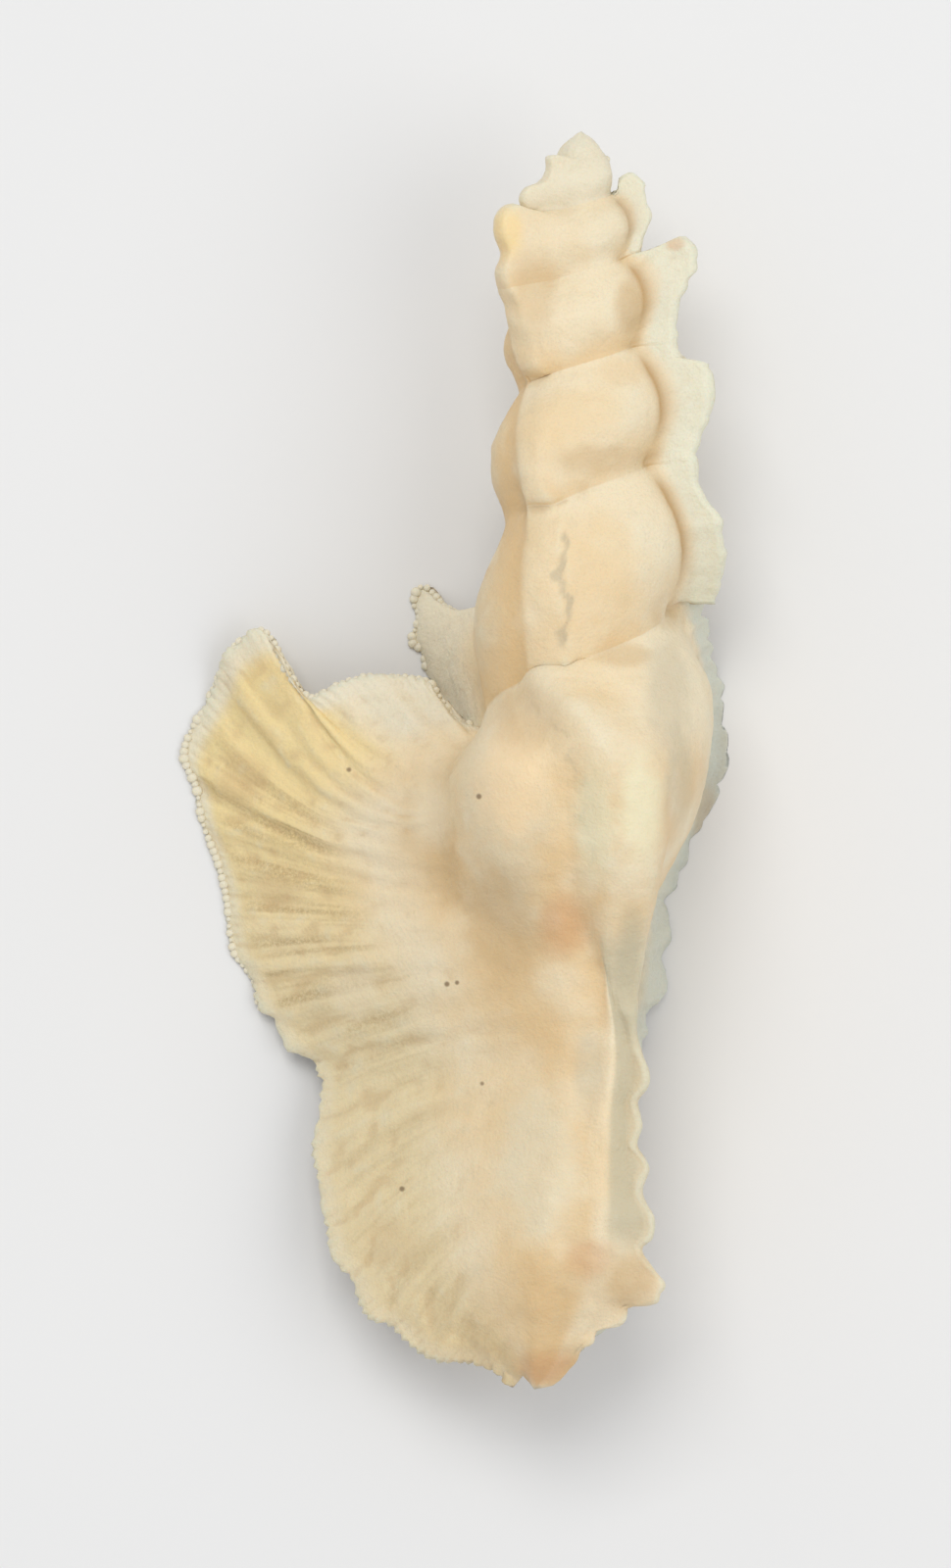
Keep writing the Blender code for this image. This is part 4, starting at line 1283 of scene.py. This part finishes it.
def shellMaterial():
    material = bpy.data.materials.new("bleachedShell")
    material.use_nodes = True
    tree = material.node_tree
    bench = Bench(tree)
    surface = tree.nodes["Principled BSDF"]

    def kept(name):
        return bench.make("ShaderNodeAttribute", {"attribute_name": name}, [], output=2)

    colours = {name: screen(*value) for name, value in finish.items()}
    spots = bench.make("ShaderNodeTexCoord", {}, [], output=3).scaled(1000)

    def noise(scale, detail=3, rough=0.55, vector=spots):
        values = {"Vector": vector, "Scale": scale, "Detail": detail, "Roughness": rough}
        return bench.make("ShaderNodeTexNoise", {}, values)

    share, near, side, left, strip, inside, rowPlace, wall, back, hollowNear, hollowWide = map(kept, (
        "wingShare", "edgeNear", "faceSide", "leftWing", "stripWing", "inside",
        "rowPlace", "wallPlace", "turnBack", "hollowNear", "hollowWide"))

    clouds = noise(0.11, 3)
    colour = bench.mixColour(clouds.ramp(0.38, 0.66), colours["cream"], colours["warmCream"])

    def paint(mask, name):
        nonlocal colour
        colour = bench.mixColour(mask, colour, colours[name])

    body = 1 - share.ramp(0, 0.35)
    # Painted shade: patchy amber over the lower part of each turn and down the body below the seam.
    low = wall.ramp(0.45, 1) * body * noise(0.2, 2).ramp(0.25, 0.6)
    paint(low * 0.75, "amber")
    paint(kept("flank") * noise(0.3, 2).ramp(0.2, 0.5) * 0.85, "amber")
    paint(kept("rightRidge").ramp(0.1, 0.6) * 0.8, "bone")
    paint(kept("smallWing").ramp(0.15, 0.6) * 0.8, "margin")
    # Umber in the groove beside a ridge's root: a brown stain there, and painted shade.
    upper = wall.ramp(0.02, 0.2) * (1 - wall.ramp(0.55, 0.95))
    paint(kept("groove") * upper * 0.95, "umber")

    # The left wing: yellow over its upper half, brown grains in rays, a pale finely notched margin.
    tilt = (1 - share) * rowPlace.ramp(11, 24) * 5
    wingWay = bench.make("ShaderNodeCombineXYZ", {}, [rowPlace * 1.7 + tilt, share * 1.1, side])
    zone = rowPlace.ramp(9, 12) * (1 - rowPlace.ramp(17, 21)) * 0.6 + 0.4
    bands = noise(1, 2, 0.6, wingWay).ramp(0.42, 0.66)
    grains = noise(4.6, 3, 0.8).ramp(0.3, 0.66) * 0.7 + 0.3
    middle = share.ramp(0.35, 0.6) * (1 - near.ramp(0.3, 0.65))
    high = 1 - rowPlace.ramp(12, 19)
    sheet = left * share.ramp(0.3, 0.65)
    paint(sheet * (1 - high) * 0.8, "wingBeige")
    paint(sheet * high * rowPlace.ramp(3.5, 5.5) * 0.85, "wingYellow")
    paint(left * bands * grains * middle * zone * 0.7, "wingBand")
    paint(near.ramp(0.4, 0.75) * left * (high * 0.5 + 0.35), "margin")
    lobe = share.ramp(0.3, 0.6) * (1 - rowPlace.ramp(3.5, 5)) * left
    paint(lobe * 0.8, "margin")
    # Painted shade: the strip of the ridge beside the canal, which slopes away, greyed.
    paint(kept("canalStrip") * (1 - near.ramp(0.8, 1) * 0.3) * 0.85, "smoke")
    tip = rowPlace.ramp(26, 34) * noise(0.3, 2).ramp(0.2, 0.6)
    paint(tip * 0.5, "tan")

    # Painted shade: hollows darkened with tan; proud places paler with wear.
    paint(hollowWide.ramp(0.08, 0.8) * 0.45, "tan")
    paint(hollowNear.ramp(0.1, 0.7) * 0.3, "tan")
    worn = (0 - hollowWide).ramp(0.15, 0.9) * 0.3 + (0 - hollowNear).ramp(0.2, 0.9) * 0.2
    paint(worn.clipped(), "bone")
    # Painted shade: the right wing's sheet greyed bluish as if in cool shade.
    paint(strip * share.ramp(0.3, 0.8) * 0.8, "stripGrey")
    paint(back.ramp(4, 6.2) * 0.8, "apexGrey")
    # Painted shadow along the furrow of a rounded ridge.
    paint(kept("furrow").ramp(0.1, 0.6) * 0.5, "furrowGrey")
    paint(noise(0.9, 4).ramp(0.56, 0.76) * 0.14, "dust")
    paint(noise(6, 2, 0.7).ramp(0.45, 0.75) * 0.2, "dust")

    wobble = noise(0.7, 2) * 0.5 - 0.25
    facing = bench.make("ShaderNodeTexCoord", {}, [], output=1)
    upward = bench.make("ShaderNodeVectorMath", {"operation": "DOT_PRODUCT"}, [facing, (0, 0, 1)], output=1)
    upperSide = upward.ramp(0.05, 0.5)
    for name, across, along, halfAcross, halfAlong, strength in marks:
        # An oval round the mark, 0 at its middle and 1 at its rim.
        away = bench.make("ShaderNodeVectorMath", {"operation": "SUBTRACT"}, [spots, (across, along, 0)])
        flat = away * (1 / halfAcross, 1 / halfAlong, 0)
        oval = bench.make("ShaderNodeVectorMath", {"operation": "LENGTH"}, [flat], output=1)
        mask = 1 - (oval + wobble).ramp(0.35, 1.1)
        # Marks paint stains, and also painted shade and a painted highlight where the list says so.
        paint(mask * upperSide * strength, name)
    paint(inside.ramp(0.5, 1), "porcelain")
    tree.links.new(colour.socket, surface.inputs["Base Color"])

    rough = noise(0.8, 3) * 0.2 + roughness - 0.1 - inside * 0.2
    tree.links.new(rough.socket, surface.inputs["Roughness"])
    for name, value in gloss.items():
        surface.inputs[name].default_value = value

    grain = noise(4.5, 3, 0.6) * 0.07 + noise(1.3, 3) * 0.09
    ways = [kept("growthWay") * 2.2, kept("edgeWay") * 0.25, side]
    growthWay = bench.make("ShaderNodeCombineXYZ", {}, ways)
    lines = (noise(1, 3, 0.6, growthWay) - 0.5) * share.ramp(0.1, 0.35) * 0.07
    height = (grain + lines) * (1 - inside.clipped() * 0.8)
    bump = bench.make("ShaderNodeBump", {}, {"Height": height, "Distance": mm, "Strength": 0.8})
    tree.links.new(bump.socket, surface.inputs["Normal"])
    return material


def floorMaterial():
    material = bpy.data.materials.new("paleFloor")
    material.use_nodes = True
    bench = Bench(material.node_tree)
    surface = material.node_tree.nodes["Principled BSDF"]
    speckle = bench.make("ShaderNodeTexNoise", {}, {"Scale": 900, "Detail": 2})
    colour = bench.mixColour(speckle * 0.5, screen(228, 227, 224), screen(222, 221, 218))
    material.node_tree.links.new(colour.socket, surface.inputs["Base Color"])
    surface.inputs["Roughness"].default_value = 0.8
    return material


# Lights have a place, a power and a size. Lights and floor are in metres, the view in millimetres.
studio = {
    "floorSize": 40,
    "floorHeight": -0.00003,
    "lights": {"windowLight": ((-0.12, 0.4, 0.8), 3.2, 0.45), "fillLight": ((0.5, -0.1, 0.6), 1.6, 0.6)},
    "skyColour": (0.93, 0.95, 1, 1),
    "skyStrength": 0.65,
    "lens": 240,
    "sensorWidth": 36,
    "viewHeight": 93.73,
    "viewCentre": (1.2, -1.46, 9),
}


def addLight(name, where, power, size):
    light = bpy.data.lights.new(name, "AREA")
    light.energy, light.size = power, size
    holder = addObject(name, light)
    holder.location = where
    holder.rotation_euler = (-Vector(where)).to_track_quat("-Z", "Y").to_euler()


def setStudio():
    half = studio["floorSize"] / 2
    mesh = bpy.data.meshes.new("floor")
    under = studio["floorHeight"]
    corners = [(-half, -half, under), (half, -half, under), (half, half, under), (-half, half, under)]
    mesh.from_pydata(corners, [], [(0, 1, 2, 3)])
    mesh.materials.append(floorMaterial())
    floor = addObject("floor", mesh)
    for name, light in studio["lights"].items():
        addLight(name, *light)
    world = bpy.data.worlds.new("studioAir")
    world.use_nodes = True
    air = world.node_tree.nodes["Background"]
    air.inputs["Color"].default_value = studio["skyColour"]
    air.inputs["Strength"].default_value = studio["skyStrength"]
    bpy.context.scene.world = world
    bpy.context.scene.view_settings.view_transform = "Standard"


def setCamera():
    data = bpy.data.cameras.new("overheadCamera")
    data.lens = studio["lens"]
    data.sensor_width = studio["sensorWidth"]
    camera = addObject("overheadCamera", data)
    across, along, up = studio["viewCentre"]
    distance = studio["viewHeight"] * studio["lens"] / studio["sensorWidth"]
    camera.location = (across * mm, along * mm, (up + distance) * mm)
    data.clip_start, data.clip_end = 0.01, 50
    bpy.context.scene.camera = camera


skin = loftShell()
shellFinish = shellMaterial()
applyTree(skin, reliefTree(shellFinish), relief)
print("relief raised on", len(skin.data.vertices), "points")
keepHollows(skin.data)
skin.data.polygons.foreach_set("use_smooth", [True] * len(skin.data.polygons))
for piece in (skin, beadMargins(shellFinish)):
    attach(piece, "root")
    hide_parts("shell")
print("shell placed")
setStudio()
setCamera()
print("studio set")
